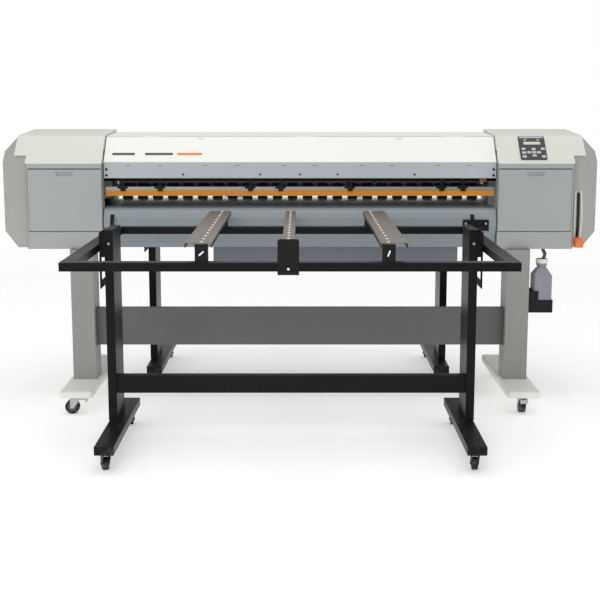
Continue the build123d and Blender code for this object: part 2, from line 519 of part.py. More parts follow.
def pinch_arm():
    """One arm in its pressing place, bored for the rod and open round its roller."""
    half = PINCH_W / 2
    eye = 2 * PINCH_ROD_R
    outline = [(FEED_Y - 22, PINCH_Z + 2), (FEED_Y - 22, PINCH_ROD_Z - 20), (FEED_Y - 6, PINCH_ROD_Z + 4),
               (PINCH_ROD_Y, PINCH_ROD_Z + eye), (PINCH_ROD_Y + eye, PINCH_ROD_Z),
               (PINCH_ROD_Y, PINCH_ROD_Z - eye), (FEED_Y + 24, PINCH_ROD_Z - 26),
               (FEED_Y + 22, PINCH_Z - 4), (FEED_Y - 8, PINCH_Z - 6)]
    arm = slab_x(outline, -half, half)
    arm -= rod_x(-half - 1, half + 1, PINCH_ROD_Y, PINCH_ROD_Z, PINCH_ROD_R + RUN)
    pocket = half - 3
    arm -= rod_x(-pocket, pocket, FEED_Y, PINCH_Z, PINCH_R + 1.5)
    arm -= block(-pocket, pocket, FEED_Y - PINCH_R - 1.5, FEED_Y + PINCH_R + 1.5, PINCH_Z - 30, PINCH_Z)
    arm += rod_x(-half, half, FEED_Y, PINCH_Z, PINCH_AXLE)
    return turned(arm, PINCH_ROD_Y, PINCH_ROD_Z, -PINCH_LIFT)


def pinch_roller():
    half = PINCH_W / 2 - 3.5
    roller = rod_x(-half, half, FEED_Y, PINCH_Z, PINCH_R) - rod_x(-half - 1, half + 1, FEED_Y, PINCH_Z,
                                                                 PINCH_AXLE + RUN)
    return turned(roller, PINCH_ROD_Y, PINCH_ROD_Z, -PINCH_LIFT)


def pinch_arms():
    arm = pinch_arm()
    return group(*[Pos(x, 0, 0) * arm for x in pinch_xs()])


def pinch_rollers():
    roller = pinch_roller()
    return group(*[Pos(x, 0, 0) * roller for x in pinch_xs()])


# ---------------------------------------------------------------- lid, shield and rear cover
def lid_knuckles(first):
    """Every other knuckle of the three lid hinges."""
    return [(x + first * KNUCKLE, x + (first + 1) * KNUCKLE) for x in HINGE_AT]


def hinge_knuckle(x0, x1, y0, y1):
    """A knuckle on the lid's hinge line, with the leaf that joins it to a cover."""
    x0, x1 = x0 + KNUCKLE_GAP, x1 - KNUCKLE_GAP
    leaf = block(x0, x1, y0, y1, HINGE_Z - HINGE_R, HINGE_Z - HINGE_R + WALL)
    return rod_x(x0, x1, HINGE_Y, HINGE_Z, HINGE_R) + leaf


def front_cover():
    """Hinged lid: upright face, white slope and an end plate at each side."""
    line = [(LID_Y + LID_LIP, LID_LOW), (LID_Y, LID_LOW), (LID_Y, LID_BEND), (LID_TOP_Y, LID_TOP_Z)]
    sheet = slab_x(strip(line, -LID_WALL), -LID_HALF, LID_HALF)
    inside, low, back = LID_Y + LID_WALL, LID_LOW + LID_WALL, LID_Y + LID_LIP + 12
    end = slab_x([(inside, low), (inside, LID_BEND), (LID_TOP_Y, LID_TOP_Z - 4), (LID_TOP_Y, LID_TOP_Z - 22),
                  (back, LID_BEND - 8), (back, low)], LID_HALF - WALL, LID_HALF)
    body = sheet + end + mirrored(end)
    for x0, x1 in lid_knuckles(0):
        body += hinge_knuckle(x0, x1, LID_TOP_Y - 5, HINGE_Y)
        body -= rod_x(x0, x1, HINGE_Y, HINGE_Z, HINGE_PIN + RUN)
    return group(body)


def rear_cover():
    """Fixed top and rear cover between the end boxes, with the hinge pins."""
    line = [(REAR_COVER_Y0, LID_TOP_Z - 24), (REAR_COVER_Y0, LID_TOP_Z + 4),
            (REAR_COVER_Y1 - 20, LID_TOP_Z + 14), (REAR_COVER_Y1, LID_TOP_Z - 8),
            (REAR_COVER_Y1, REAR_COVER_LOW)]
    body = slab_x(strip(line, -LID_WALL), -LID_HALF, LID_HALF)
    pins = []
    for (x0, x1), (x2, x3) in zip(lid_knuckles(-1), lid_knuckles(1)):
        for k0, k1 in ((x0, x1), (x2, x3)):
            body += hinge_knuckle(k0, k1, HINGE_Y, REAR_COVER_Y0 + 1)
            body -= rod_x(k0, k1, HINGE_Y, HINGE_Z, HINGE_PIN + RUN)
        pins.append(rod_x(x0, x3, HINGE_Y, HINGE_Z, HINGE_PIN))
    return group(body, *pins)


def amber_shield():
    """Amber light shield hanging below the lid."""
    return group(block(-SHIELD_HALF, SHIELD_HALF, AMBER_Y, AMBER_Y + AMBER_T, AMBER_LOW, AMBER_HIGH))


def shield_strip():
    """Light metal strip along the top of the amber shield, with folded lip."""
    line = [(AMBER_Y, STRIP_LOW - 3), (AMBER_Y, STRIP_HIGH), (AMBER_Y + 12, STRIP_HIGH)]
    return group(slab_x(strip(line, STRIP_T), -SHIELD_HALF, SHIELD_HALF))


def shield_clamps():
    """Black clamps that hang the strip and the shield from the lid."""
    clamps = []
    face, top, high = AMBER_Y - STRIP_T, STRIP_HIGH + STRIP_T, LID_LOW + 26
    for x in [share * LID_HALF for share in CLAMP_SHARES]:
        left, right = x - CLAMP_W / 2, x + CLAMP_W / 2
        inner_left, inner_right = x - CLAMP_POST / 2, x + CLAMP_POST / 2
        clamp = block(left, right, face - CLAMP_T, face, AMBER_HIGH - 4, top + 5)
        clamp += block(left, right, face - CLAMP_T, AMBER_Y + 14, top, top + 5)
        clamp += block(inner_left, inner_right, AMBER_Y, AMBER_Y + 5, STRIP_HIGH + 6, high)
        clamp += block(inner_left, inner_right, LID_Y + LID_WALL + 0.5, AMBER_Y, high - 12, high)
        clamps.append(clamp)
    return group(*clamps)


# ---------------------------------------------------------------- end boxes
def box_outline(grow=0.0):
    """Outline of an end box in (y, z), shrunk by -grow."""
    return [(FRONT_Y - grow, BASE_Z - grow), (FRONT_Y - grow, FACE_TOP_Z + grow * 0.4),
            (SHOULDER_Y - grow * 0.35, SHOULDER_Z + grow), (CREST_Y, TOP_Z + grow),
            (REAR_Y + grow, TOP_Z - REAR_EDGE_DROP + grow * 0.4), (REAR_Y + grow, BASE_Z - grow)]


def end_cover():
    """Light cover of the right end box: slope, top, rear wall and inner cheek."""
    shell = slab_x(box_outline(), BOX_IN, BOX_END) - slab_x(box_outline(-WALL), BOX_IN + WALL, BOX_END - WALL)
    shell -= slab_x(side_outline(SIDE_Y, REAR_Y, BASE_Z, SHOULDER_Z - 4, SIDE_CUT, WALL), BOX_END - WALL - 1,
                    BOX_END + 1)
    shell -= block(BOX_IN - 1, BOX_OUT, FRONT_Y - 1, SIDE_Y, BASE_Z - 1, FACE_TOP_Z)
    shell -= block(BOX_IN - 1, BOX_END + 1, SIDE_Y - 1, REAR_Y - WALL, BASE_Z - 1, BASE_Z + WALL + 1)
    shell -= block(BOX_OUT, BOX_END + 1, FRONT_Y - 1, SIDE_Y + WALL, BASE_Z - 1, STRIP_TOP_Z)
    cheek = slab_x(box_outline(), BOX_OUT - WALL, BOX_OUT)
    cheek &= block(BOX_OUT - WALL, BOX_OUT, FRONT_Y, SIDE_Y + WALL, FACE_TOP_Z, STRIP_TOP_Z + WALL)
    shelf = slab_x(box_outline(), BOX_OUT, BOX_END)
    shelf &= block(BOX_OUT, BOX_END, FRONT_Y, SIDE_Y + WALL, STRIP_TOP_Z, STRIP_TOP_Z + WALL)
    shell += cheek + shelf
    path = block(BOX_IN - 1, BOX_IN + WALL + 1, BASE_Y0, RAIL_Y1 + 2, BASE_Z - 1, LID_TOP_Z - 60)
    shell -= path
    return group(max(shell.solids(), key=lambda s: s.volume))


def door_pin_xs():
    """Middles of the two hinge ears below the right door."""
    return BOX_IN + GAP + DOOR_PIN_INSET, DOOR_OUT - DOOR_PIN_INSET


def hinge_ear(x):
    """Fixed ear that reaches up behind the lower panel and forward to the door's pin."""
    back, deep = FRONT_Y + DOOR_DEPTH + 2, 8
    x0, x1 = x - EAR_T / 2, x + EAR_T / 2
    ear = block(x0, x1, FRONT_Y + WALL, back + deep, DOOR_LOW - 30, DOOR_LOW - 2 * GAP)
    ear += block(x0, x1, back, back + deep, DOOR_LOW - 30, DOOR_HINGE_Z + EAR_R)
    ear += block(x0, x1, DOOR_HINGE_Y, back + deep, DOOR_HINGE_Z - EAR_R, DOOR_HINGE_Z + EAR_R)
    ear += rod_x(x0, x1, DOOR_HINGE_Y, DOOR_HINGE_Z, EAR_R)
    return ear - rod_x(x0 - 1, x1 + 1, DOOR_HINGE_Y, DOOR_HINGE_Z, DOOR_PIN + RUN)


def front_frame():
    """Grey front of the right end box: lower panel, header, corner post, floor and hinge ears."""
    face = block(BOX_IN, BOX_OUT, FRONT_Y, SIDE_Y, BASE_Z, FACE_TOP_Z)
    corner = face.edges().filter_by(Axis.Z).sort_by(Axis.X)[-2:].sort_by(Axis.Y)[0]
    face = fillet(corner, CORNER_R)
    face -= block(BOX_IN + WALL, BOX_OUT - WALL, FRONT_Y + WALL, SIDE_Y + 1, BASE_Z - 1, FACE_TOP_Z + 1)
    face -= block(BOX_IN - 1, DOOR_OUT + GAP, FRONT_Y - 1, FRONT_Y + DOOR_DEPTH + 2, DOOR_LOW - GAP,
                  DOOR_HIGH + GAP)
    floor = block(BOX_IN, BOX_OUT - WALL, FRONT_Y + WALL, BASE_Y0 - 4, BASE_Z, BASE_Z + WALL)
    floor -= rod_z(HOSE_TOP_X, HOSE_TOP_Y, BASE_Z - 1, BASE_Z + WALL + 1, HOSE_R + 0.5)
    frame = face + floor
    for x in door_pin_xs():
        frame += hinge_ear(x)
    return frame


def door():
    """Fold-down door of the right end box: a shallow pan with a scooped finger grip, and its hinge pins."""
    x0, x1 = BOX_IN + GAP, DOOR_OUT
    pan = block(x0, x1, FRONT_Y, FRONT_Y + DOOR_DEPTH, DOOR_LOW, DOOR_HIGH)
    low_edge = pan.edges().filter_by(Axis.X).group_by(Axis.Z)[0].sort_by(Axis.Y)[0]
    pan = fillet(low_edge, DOOR_PIVOT - 0.5)
    wall, behind = DOOR_WALL, FRONT_Y + DOOR_DEPTH + 1
    pan -= block(x0 + wall, x1 - wall, FRONT_Y + wall, behind, DOOR_LOW + wall, DOOR_HIGH - wall)
    middle, half = (x0 + x1) / 2, GRIP_WIDTH / 2
    back = block(middle - half - 5, middle + half + 5, FRONT_Y + 2, FRONT_Y + GRIP_DEPTH + 3,
                 DOOR_HIGH - 36, DOOR_HIGH - 2)
    scoop = Pos(middle, FRONT_Y - 3, DOOR_HIGH - 4) * Rot(90, 0, 0) * Cylinder(half, 2 * GRIP_DEPTH + 2)
    scoop &= block(middle - 2 * half, middle + 2 * half, FRONT_Y - 20, FRONT_Y + GRIP_DEPTH, DOOR_HIGH - 30,
                   DOOR_HIGH - 12)
    body = pan + back - scoop
    for x in door_pin_xs():
        room = EAR_T / 2 + EAR_SLOT
        body -= block(x - room, x + room, FRONT_Y + wall + 1, behind, DOOR_LOW - 1, DOOR_LOW + wall + 1)
        for lug in (x - room - 4, x + room):
            body += block(lug, lug + 4, FRONT_Y + 1, DOOR_HINGE_Y + 4, DOOR_LOW + 1.5, DOOR_HINGE_Z + 4)
        body += rod_x(x - room - 4, x + room + 4, DOOR_HINGE_Y, DOOR_HINGE_Z, DOOR_PIN)
    return group(body)


def side_outline(y0, y1, z0, z1, cut, inset=0.0):
    """Six-sided outline of a side cover in (y, z); every edge keeps its direction whatever its size."""
    slope = (SHOULDER_Z - FACE_TOP_Z) / (SHOULDER_Y - FRONT_Y)
    y0, y1, z0, z1 = y0 + inset, y1 - inset, z0 + inset, z1 - inset
    front = cut - inset * (1 - tan(radians(22.5)))
    return [(y0, z0), (y0, z1 - front * slope), (y0 + front, z1), (y1 - front, z1), (y1, z1 - front),
            (y1, z0)]


def side_cover():
    """Bulged outer cover of the right end box, with the recessed strip along its front edge."""
    def cone(inset, x0, x1):
        wide = side_outline(SIDE_Y, REAR_Y, BASE_Z, SHOULDER_Z - 4, SIDE_CUT, inset)
        small = side_outline(BULGE_Y0, BULGE_Y1, BULGE_Z0, BULGE_Z1, BULGE_CUT, inset)
        return faceted([(x0, y, z) for y, z in wide], [(x1, y, z) for y, z in small])
    body = cone(0, BOX_END, HALF_WIDTH) - cone(WALL, BOX_END, HALF_WIDTH - WALL)
    front = block(BOX_OUT, BOX_END, SIDE_Y, SIDE_Y + WALL, BASE_Z, STRIP_TOP_Z)
    floor = block(BOX_OUT, BOX_END, SIDE_Y + WALL, REAR_Y - WALL, BASE_Z, BASE_Z + WALL)
    return body + front + floor


def slot_reach():
    """Half the height that the lever's blade sweeps where it crosses the strip."""
    return (LEVER_Y - SIDE_Y) * tan(radians(LEVER_SWING / 2))


def lever_slot():
    """Room for the lever's blade through the strip."""
    reach = slot_reach() + 9
    return block(LEVER_X - LEVER_SLOT / 2, LEVER_X + LEVER_SLOT / 2, SIDE_Y - 12, SIDE_Y + WALL + 1,
                 LEVER_Z - reach, LEVER_Z + reach)


def right_side_cover():
    """The side cover at the lever's end, with the slot's raised bezel."""
    reach, bow = slot_reach() + 16, 9.0
    low, high = (SIDE_Y, LEVER_Z - reach), (SIDE_Y, LEVER_Z + reach)
    face = make_face(ThreePointArc(low, (SIDE_Y - bow, LEVER_Z), high) + Line(high, low))
    half = LEVER_SLOT / 2 + 5
    bezel = Pos(LEVER_X - half, 0, 0) * extrude(Plane.YZ * face, amount=2 * half)
    return group(side_cover() + bezel - lever_slot())


def left_side_cover():
    return group(mirrored(side_cover()))


def right_end_cover():
    return end_cover()


def left_end_cover():
    return group(mirrored(end_cover()))


def front_frames():
    frame = front_frame()
    return group(frame, mirrored(frame))


# ---------------------------------------------------------------- lever and panel
def lever_point(radius, offset, angle):
    """A point in (y, z) at a radius in front of the pivot and an offset across the blade."""
    a = radians(angle)
    return LEVER_Y - radius * cos(a) - offset * sin(a), LEVER_Z + radius * sin(a) - offset * cos(a)


def pressure_lever():
    """Blade from the pivot out through the slot, with its pivot boss and stub shaft."""
    down, root, tip = -LEVER_SWING / 2, 9, 6
    outline = [lever_point(0, root, down), lever_point(GRIP_R0, tip, down), lever_point(GRIP_R0, -tip, down),
               lever_point(0, -root, down)]
    x0, x1 = LEVER_X - LEVER_T / 2, LEVER_X + LEVER_T / 2
    lever = slab_x(outline, x0, x1) + rod_x(x0, x1, LEVER_Y, LEVER_Z, BOSS_R)
    return group(lever + rod_x(FRAME_OUT - 20, x1, LEVER_Y, LEVER_Z, PIVOT_R))


def lever_handle():
    """Square grip pushed over the blade's end."""
    down = -LEVER_SWING / 2
    half = GRIP_T / 2
    outline = [lever_point(GRIP_R0, half, down), lever_point(GRIP_R1, half, down),
               lever_point(GRIP_R1, -half, down), lever_point(GRIP_R0, -half, down)]
    grip = slab_x(outline, LEVER_X - GRIP_W / 2, LEVER_X + GRIP_W / 2)
    return group(fillet(grip.edges(), 3))


def control_panel():
    """Key and display unit let into the right slope."""
    tilt = degrees(atan2(SHOULDER_Z - FACE_TOP_Z, SHOULDER_Y - FRONT_Y))
    y = FRONT_Y + PANEL_SHARE * (SHOULDER_Y - FRONT_Y)
    z = FACE_TOP_Z + PANEL_SHARE * (SHOULDER_Z - FACE_TOP_Z)
    unit = Box(PANEL_W, PANEL_L, PANEL_T)
    unit = fillet(unit.edges().filter_by(Axis.Z), 6)
    return group(Pos(PANEL_X, y, z) * Rot(tilt, 0, 0) * Pos(0, 0, PANEL_T / 2 + 0.02) * unit)


# ---------------------------------------------------------------- bottle, hose and electronics
def bottle_holder():
    """Folded tray bolted to the right column; its tall wall is at the column."""
    x0 = STAND_X + COLUMN_W / 2
    wall, half_w, half_d = HOLDER_T, BOTTLE_W / 2 + 1, BOTTLE_D / 2 + 1
    x1, y0, y1 = BOTTLE_X + half_w + wall, BOTTLE_Y - half_d - wall, BOTTLE_Y + half_d + wall
    tray = block(x0, x1, y0, y1, HOLDER_Z0, HOLDER_FRONT_Z)
    tall = block(x0, BOTTLE_X - 20, y0, y1, HOLDER_Z0, HOLDER_SIDE_Z)
    inside = (y0 + wall, y1 - wall, BOTTLE_Z0, HOLDER_SIDE_Z + 1)
    room = block(BOTTLE_X - half_w, x1 - wall, *inside)
    spare = block(x0 + wall, BOTTLE_X - half_w - 2, *inside)
    return group(tray + tall - room - spare)


def waste_bottle():
    """Square translucent bottle with shoulders, a neck and an open cap."""
    x0, x1 = BOTTLE_X - BOTTLE_W / 2, BOTTLE_X + BOTTLE_W / 2
    y0, y1 = BOTTLE_Y - BOTTLE_D / 2, BOTTLE_Y + BOTTLE_D / 2

    def solid(wall):
        body = block(x0 + wall, x1 - wall, y0 + wall, y1 - wall, BOTTLE_Z0 + wall, BOTTLE_Z1)
        body = fillet(body.edges().filter_by(Axis.Z), 10 - wall)
        inset, neck, high = 2 * wall + 2, 2 * (NECK_R - wall), BOTTLE_Z1 + SHOULDER_H - wall
        low = Pos(BOTTLE_X, BOTTLE_Y, BOTTLE_Z1) * Rectangle(BOTTLE_W - inset, BOTTLE_D - inset)
        shoulder = loft([low, Pos(BOTTLE_X, BOTTLE_Y, high) * Rectangle(neck, neck)], ruled=True)
        return body + shoulder + rod_z(BOTTLE_X, BOTTLE_Y, high - 4, BOTTLE_NECK_Z + wall, NECK_R - wall)
    body = solid(0) - solid(BOTTLE_WALL)
    body -= rod_z(BOTTLE_X, BOTTLE_Y, BOTTLE_Z1 + SHOULDER_H + 2, BOTTLE_NECK_Z + 5, NECK_R - BOTTLE_WALL)
    low = BOTTLE_NECK_Z - 14
    cap = rod_z(BOTTLE_X, BOTTLE_Y, low, CAP_TOP_Z, CAP_R)
    cap -= rod_z(BOTTLE_X, BOTTLE_Y, low - 1, BOTTLE_NECK_Z, NECK_R + 0.2)
    cap -= rod_z(BOTTLE_X, BOTTLE_Y, BOTTLE_NECK_Z - 1, CAP_TOP_Z + 1, MOUTH_R)
    return group(body, cap)


def drain_hose():
    """Short fixed hose from the machine's floor down into the cap's mouth."""
    path = FilletPolyline(*HOSE_ROUTE, radius=HOSE_BEND)
    start = Plane(origin=path @ 0, z_dir=path % 0)
    outer, inner = [sweep(start * Circle(r), path=path) for r in (HOSE_R, HOSE_R - HOSE_WALL)]
    return group(outer - inner)


def electronics_box():
    """Pan hung under the base, with a power inlet on its rear wall."""
    wall = ELEC_WALL
    pan = block(ELEC_X0, ELEC_X1, ELEC_Y0, ELEC_Y1, ELEC_Z0, BASE_Z)
    pan -= block(ELEC_X0 + wall, ELEC_X1 - wall, ELEC_Y0 + wall, ELEC_Y1 - wall, ELEC_Z0 + wall, BASE_Z + 1)
    x0, z0, back = ELEC_X1 - 110, ELEC_Z0 + 24, ELEC_Y1 + INLET_D
    inlet = block(x0, x0 + INLET_W, ELEC_Y1, back, z0, z0 + INLET_H)
    inlet -= block(x0 + 2 * INLET_WALL, x0 + INLET_W - 2 * INLET_WALL, ELEC_Y1 + 1, back + 1,
                   z0 + INLET_WALL, z0 + INLET_H - INLET_WALL)
    return group(pan, inlet)


# ---------------------------------------------------------------- tables
def table_feet_ys(foot_y0):
    return (foot_y0 + TCASTER_INSET, foot_y0 + TFOOT_L - TCASTER_INSET)


def table_legs(cx, leg_y0, foot_y0, beam_y0):
    """Two T legs with their feet, the beam between them, and the pins of the casters."""
    pieces = []
    top, wall, foot_y1 = TFOOT_Z + TFOOT_T, TFOOT_WALL, foot_y0 + TFOOT_L
    for side in (-1, 1):
        x0, x1 = cx + side * TFOOT_X - TFOOT_W / 2, cx + side * TFOOT_X + TFOOT_W / 2
        foot = block(x0, x1, foot_y0, foot_y1, TFOOT_Z, top)
        foot = chamfer(foot.edges().filter_by(Axis.Y), 2)
        for y0, y1 in ((foot_y0 + TFOOT_PAD, leg_y0 - 5), (leg_y0 + LEG_D + 5, foot_y1 - TFOOT_PAD)):
            foot -= block(x0 + wall, x1 - wall, y0, y1, TFOOT_Z - 1, top - wall)
        leg = cx + side * LEG_X
        post = tube_z(leg - LEG_W / 2, leg + LEG_W / 2, leg_y0, leg_y0 + LEG_D, top, LEG_TOP, LEG_WALL)
        pieces += [foot, post]
        pieces += [king_pin(cx + side * TFOOT_X, y, TFOOT_Z) for y in table_feet_ys(foot_y0)]
    inner = LEG_X - LEG_W / 2
    pieces.append(tube_x(cx - inner, cx + inner, beam_y0, beam_y0 + TBEAM_D, TBEAM_Z0, TBEAM_Z1, LEG_WALL))
    return group(*pieces)


def table_rails(cx, y0, y1):
    """Rectangular top frame of four square-cut tubes, closed by end caps."""
    pieces, cap = [], 2
    for a in (y0, y1 - TRAIL_W):
        tube = (a, a + TRAIL_W, TRAIL_Z, TRAIL_TOP)
        pieces.append(tube_x(cx - TABLE_HALF + cap, cx + TABLE_HALF - cap, *tube, TRAIL_WALL))
        pieces += [block(cx - TABLE_HALF, cx - TABLE_HALF + cap, *tube),
                   block(cx + TABLE_HALF - cap, cx + TABLE_HALF, *tube)]
    for x0 in (cx - TABLE_HALF, cx + TABLE_HALF - TRAIL_W):
        pieces.append(tube_y(x0, x0 + TRAIL_W, y0 + TRAIL_W, y1 - TRAIL_W, TRAIL_Z, TRAIL_TOP, TRAIL_WALL))
    return pieces


def leg_brackets(cx, leg_y0):
    """Welded bracket at each leg: cross plates and a side plate against the rail, with a window."""
    pieces = []
    rail_in, leg_out = TABLE_HALF - TRAIL_W, LEG_X + LEG_W / 2
    y0, y1, side_in = leg_y0 + BRACKET_INSET, leg_y0 + LEG_D - BRACKET_INSET, rail_in - BRACKET_T
    low = TRAIL_Z - 22
    webs = [block(leg_out, rail_in, y, y + BRACKET_T, low, BRACKET_TOP) for y in (y0, y1 - BRACKET_T)]
    plate = block(side_in, rail_in, y0, y1, BRACKET_LOW, BRACKET_TOP)
    plate -= block(side_in - 1, rail_in + 1, y0 + 32, y1 - 32, BRACKET_LOW + 30, TRAIL_Z - 20)
    piece = webs[0] + webs[1] + plate
    for shape in (mirrored(piece), piece):
        pieces.append(Pos(cx, 0, 0) * shape)
    return pieces


def front_table_legs():
    return table_legs(TABLE_X, TABLE_LEG_Y0, TABLE_FOOT_Y0, TABLE_LEG_Y0 + 10)


def front_table_frame():
    return group(*table_rails(TABLE_X, TABLE_Y0, TABLE_Y1))


def front_table_brackets():
    return group(*leg_brackets(TABLE_X, TABLE_LEG_Y0))


def rear_table_legs():
    return table_legs(REAR_TABLE_X, REAR_LEG_Y0, REAR_FOOT_Y0, REAR_LEG_Y0 + LEG_D - 10 - TBEAM_D)


def rear_table_frame():
    return group(*table_rails(REAR_TABLE_X, REAR_TABLE_Y0, REAR_TABLE_Y1),
                 *leg_brackets(REAR_TABLE_X, REAR_LEG_Y0), *rear_supports())


def table_hooks():
    """Bent hooks on the frame's side faces that reach from the table towards the apron."""
    line = [(-40, 8), (22, 8), (34, 32), (40, 58), (58, 76)]
    outline = strip([(TABLE_Y1 + y, TRAIL_Z + z) for y, z in line], HOOK_T)
    return group(slab_x(outline, TABLE_X - TABLE_HALF - HOOK_W, TABLE_X - TABLE_HALF),
                 slab_x(outline, TABLE_X + TABLE_HALF, TABLE_X + TABLE_HALF + HOOK_W))


def ball_ys(y0, y1):
    count = int((y1 - y0 - 2 * BALL_INSET) // BALL_PITCH) + 1
    return [y0 + BALL_INSET + i * BALL_PITCH for i in range(count)]


def support(x, width, ball_x, y0, y1):
    """Folded plate across a table and its row of ball rollers, each in a round seat."""
    top = SUPPORT_Z + SUPPORT_T
    line = [(x - width / 2, top - SUPPORT_FLANGE), (x - width / 2, top), (x + width / 2, top),
            (x + width / 2, top - SUPPORT_FLANGE)]
    plate = slab_y(strip(line, -SUPPORT_T), y0, y1)
    balls = []
    for y in ball_ys(y0, y1):
        centre = Pos(ball_x, y, top + BALL_PROUD - BALL_R)
        plate -= centre * Sphere(BALL_R + BALL_SEAT)
        balls.append(centre * Sphere(BALL_R))
    return [plate] + balls


def post(x, y0, width=POST_W):
    """Square tube foot between a rail and a support plate."""
    return tube_z(x - width / 2, x + width / 2, y0, y0 + POST_D, TRAIL_TOP, SUPPORT_Z, POST_WALL)


def support_left():
    return group(*support(LEFT_SUPPORT_X, SUPPORT_W, LEFT_BALL_X, SUPPORT_Y0, SUPPORT_Y1),
                 *[post(LEFT_BALL_X, y) for y in POST_YS])


def support_right():
    return group(*support(RIGHT_SUPPORT_X, SUPPORT_W, RIGHT_BALL_X, SUPPORT_Y0, SUPPORT_Y1),
                 *[post(RIGHT_BALL_X, y) for y in POST_YS])


def support_center():
    """Narrow middle support, held by a wide plate bolted to the front of the front rail."""
    x, y0, y1 = MID_SUPPORT_X, TABLE_Y0 - MID_PLATE_T, TABLE_Y0
    plate = block(x - MID_PLATE_W / 2, x + MID_PLATE_W / 2, y0, y1, MID_PLATE_Z0, MID_PLATE_Z1)
    plate = fillet(plate.edges().filter_by(Axis.Y).sort_by(Axis.Z)[-2:], 10)
    bolt = rod_y(x, y0 - BOLT_H, y0, TRAIL_Z + TRAIL_H / 2, BOLT_R)
    arm = block(x - 15, x + 15, TABLE_Y0, SUPPORT_Y0 + 9, SUPPORT_Z - 8, SUPPORT_Z)
    foot = post(x, POST_YS[1], MID_SUPPORT_W - 2 * SUPPORT_T - 1)
    return group(*support(x, MID_SUPPORT_W, x, SUPPORT_Y0, SUPPORT_Y1), plate, bolt, arm, foot)


def rear_supports():
    """Two supports across the rear table, on an inner bar and the back rail."""
    y0, y1 = REAR_SUPPORT_Y0, REAR_SUPPORT_Y1
    pieces = []
    for x in REAR_SUPPORT_XS:
        pieces += support(x, SUPPORT_W, x, y0, y1)
        pieces += [post(x, y0 + 5), post(x, REAR_TABLE_Y1 - TRAIL_W + 8)]
    x0, x1 = REAR_TABLE_X - TABLE_HALF + TRAIL_W, REAR_TABLE_X + TABLE_HALF - TRAIL_W
    bar = tube_x(x0, x1, y0, y0 + REAR_BAR_D, TRAIL_Z, TRAIL_TOP, TRAIL_WALL)
    return pieces + [bar]


# ---------------------------------------------------------------- table casters
def table_caster_xs(cx):
    return (cx - TFOOT_X, cx + TFOOT_X)


def table_fork(side):
    return fork(TABLE_X + side * TFOOT_X, table_feet_ys(TABLE_FOOT_Y0)[0], TFOOT_Z, TWHEEL_R, TWHEEL_W,
                TWHEEL_TRAIL, HEADING[side_name(side, "table_")])


def table_wheel(side):
    return wheel(TABLE_X + side * TFOOT_X, table_feet_ys(TABLE_FOOT_Y0)[0], TWHEEL_R, TWHEEL_W, TWHEEL_TRAIL,
                 HEADING[side_name(side, "table_")])


def fork_pair(cx, y):
    return [fork(x, y, TFOOT_Z, TWHEEL_R, TWHEEL_W, TWHEEL_TRAIL, HEADING["rear"])
            for x in table_caster_xs(cx)]


def wheel_pair(cx, y):
    return group(*[wheel(x, y, TWHEEL_R, TWHEEL_W, TWHEEL_TRAIL, HEADING["rear"])
                   for x in table_caster_xs(cx)])


def rear_table_forks():
    front, back = table_feet_ys(REAR_FOOT_Y0)
    return group(*fork_pair(REAR_TABLE_X, front), *fork_pair(REAR_TABLE_X, back))


# ---------------------------------------------------------------- nodes
NODES = {
    "stand_legs": stand_legs,
    "stand_beam": stand_beam,
    "left_caster_fork": lambda: group(machine_fork(-1)),
    "right_caster_fork": lambda: group(machine_fork(1)),
    "left_caster_wheel": lambda: group(machine_wheel(-1)),
    "right_caster_wheel": lambda: group(machine_wheel(1)),
    "rear_caster_forks": rear_forks,
    "rear_caster_wheels": rear_wheels,
    "base_frame": base_frame,
    "side_frames": side_frames,
    "front_apron": front_apron,
    "platen": platen,
    "feed_roller": feed_roller,
    "rear_guide": rear_guide,
    "carriage_rail": carriage_rail,
    "carriage": carriage,
    "print_heads": print_heads,
    "curing_lamps": curing_lamps,
    "drive_belt": drive_belt,
    "drive_motors": drive_motors,
    "capping_station": capping_station,
    "pinch_arms": pinch_arms,
    "pinch_rollers": pinch_rollers,
    "front_cover": front_cover,
    "rear_cover": rear_cover,
    "amber_shield": amber_shield,
    "shield_strip": shield_strip,
    "shield_clamps": shield_clamps,
    "left_end_cover": left_end_cover,
    "right_end_cover": right_end_cover,
    "front_frames": front_frames,
    "left_door": lambda: group(mirrored(door())),
    "right_door": door,
    "left_side_cover": left_side_cover,
    "right_side_cover": right_side_cover,
    "pressure_lever": pressure_lever,
    "lever_handle": lever_handle,
    "control_panel": control_panel,
    "electronics_box": electronics_box,
    "bottle_holder": bottle_holder,
    "waste_bottle": waste_bottle,
    "drain_hose": drain_hose,
    "front_table_legs": front_table_legs,
    "front_table_frame": front_table_frame,
    "front_table_brackets": front_table_brackets,
    "table_hooks": table_hooks,
    "support_left": support_left,
    "support_center": support_center,
    "support_right": support_right,
    "table_left_fork": lambda: group(table_fork(-1)),
    "table_right_fork": lambda: group(table_fork(1)),
    "table_left_wheel": lambda: group(table_wheel(-1)),
    "table_right_wheel": lambda: group(table_wheel(1)),
    "table_back_forks": lambda: group(*fork_pair(TABLE_X, table_feet_ys(TABLE_FOOT_Y0)[1])),
    "table_back_wheels": lambda: wheel_pair(TABLE_X, table_feet_ys(TABLE_FOOT_Y0)[1]),
    "rear_table_legs": rear_table_legs,
    "rear_table_frame": rear_table_frame,
    "rear_table_forks": rear_table_forks,
    "rear_table_front_wheels": lambda: wheel_pair(REAR_TABLE_X, table_feet_ys(REAR_FOOT_Y0)[0]),
    "rear_table_back_wheels": lambda: wheel_pair(REAR_TABLE_X, table_feet_ys(REAR_FOOT_Y0)[1]),
}


def main():
    os.makedirs("parts", exist_ok=True)
    for name, build in NODES.items():
        export_step(Pos(0, -AXIS_Y, 0) * build(), f"parts/{name}.step")


if __name__ == "__main__":
    main()
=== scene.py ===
import json
from math import atan2, cos, pi, radians, sin, tan

import bmesh
import bpy
from mathutils import Matrix, Vector


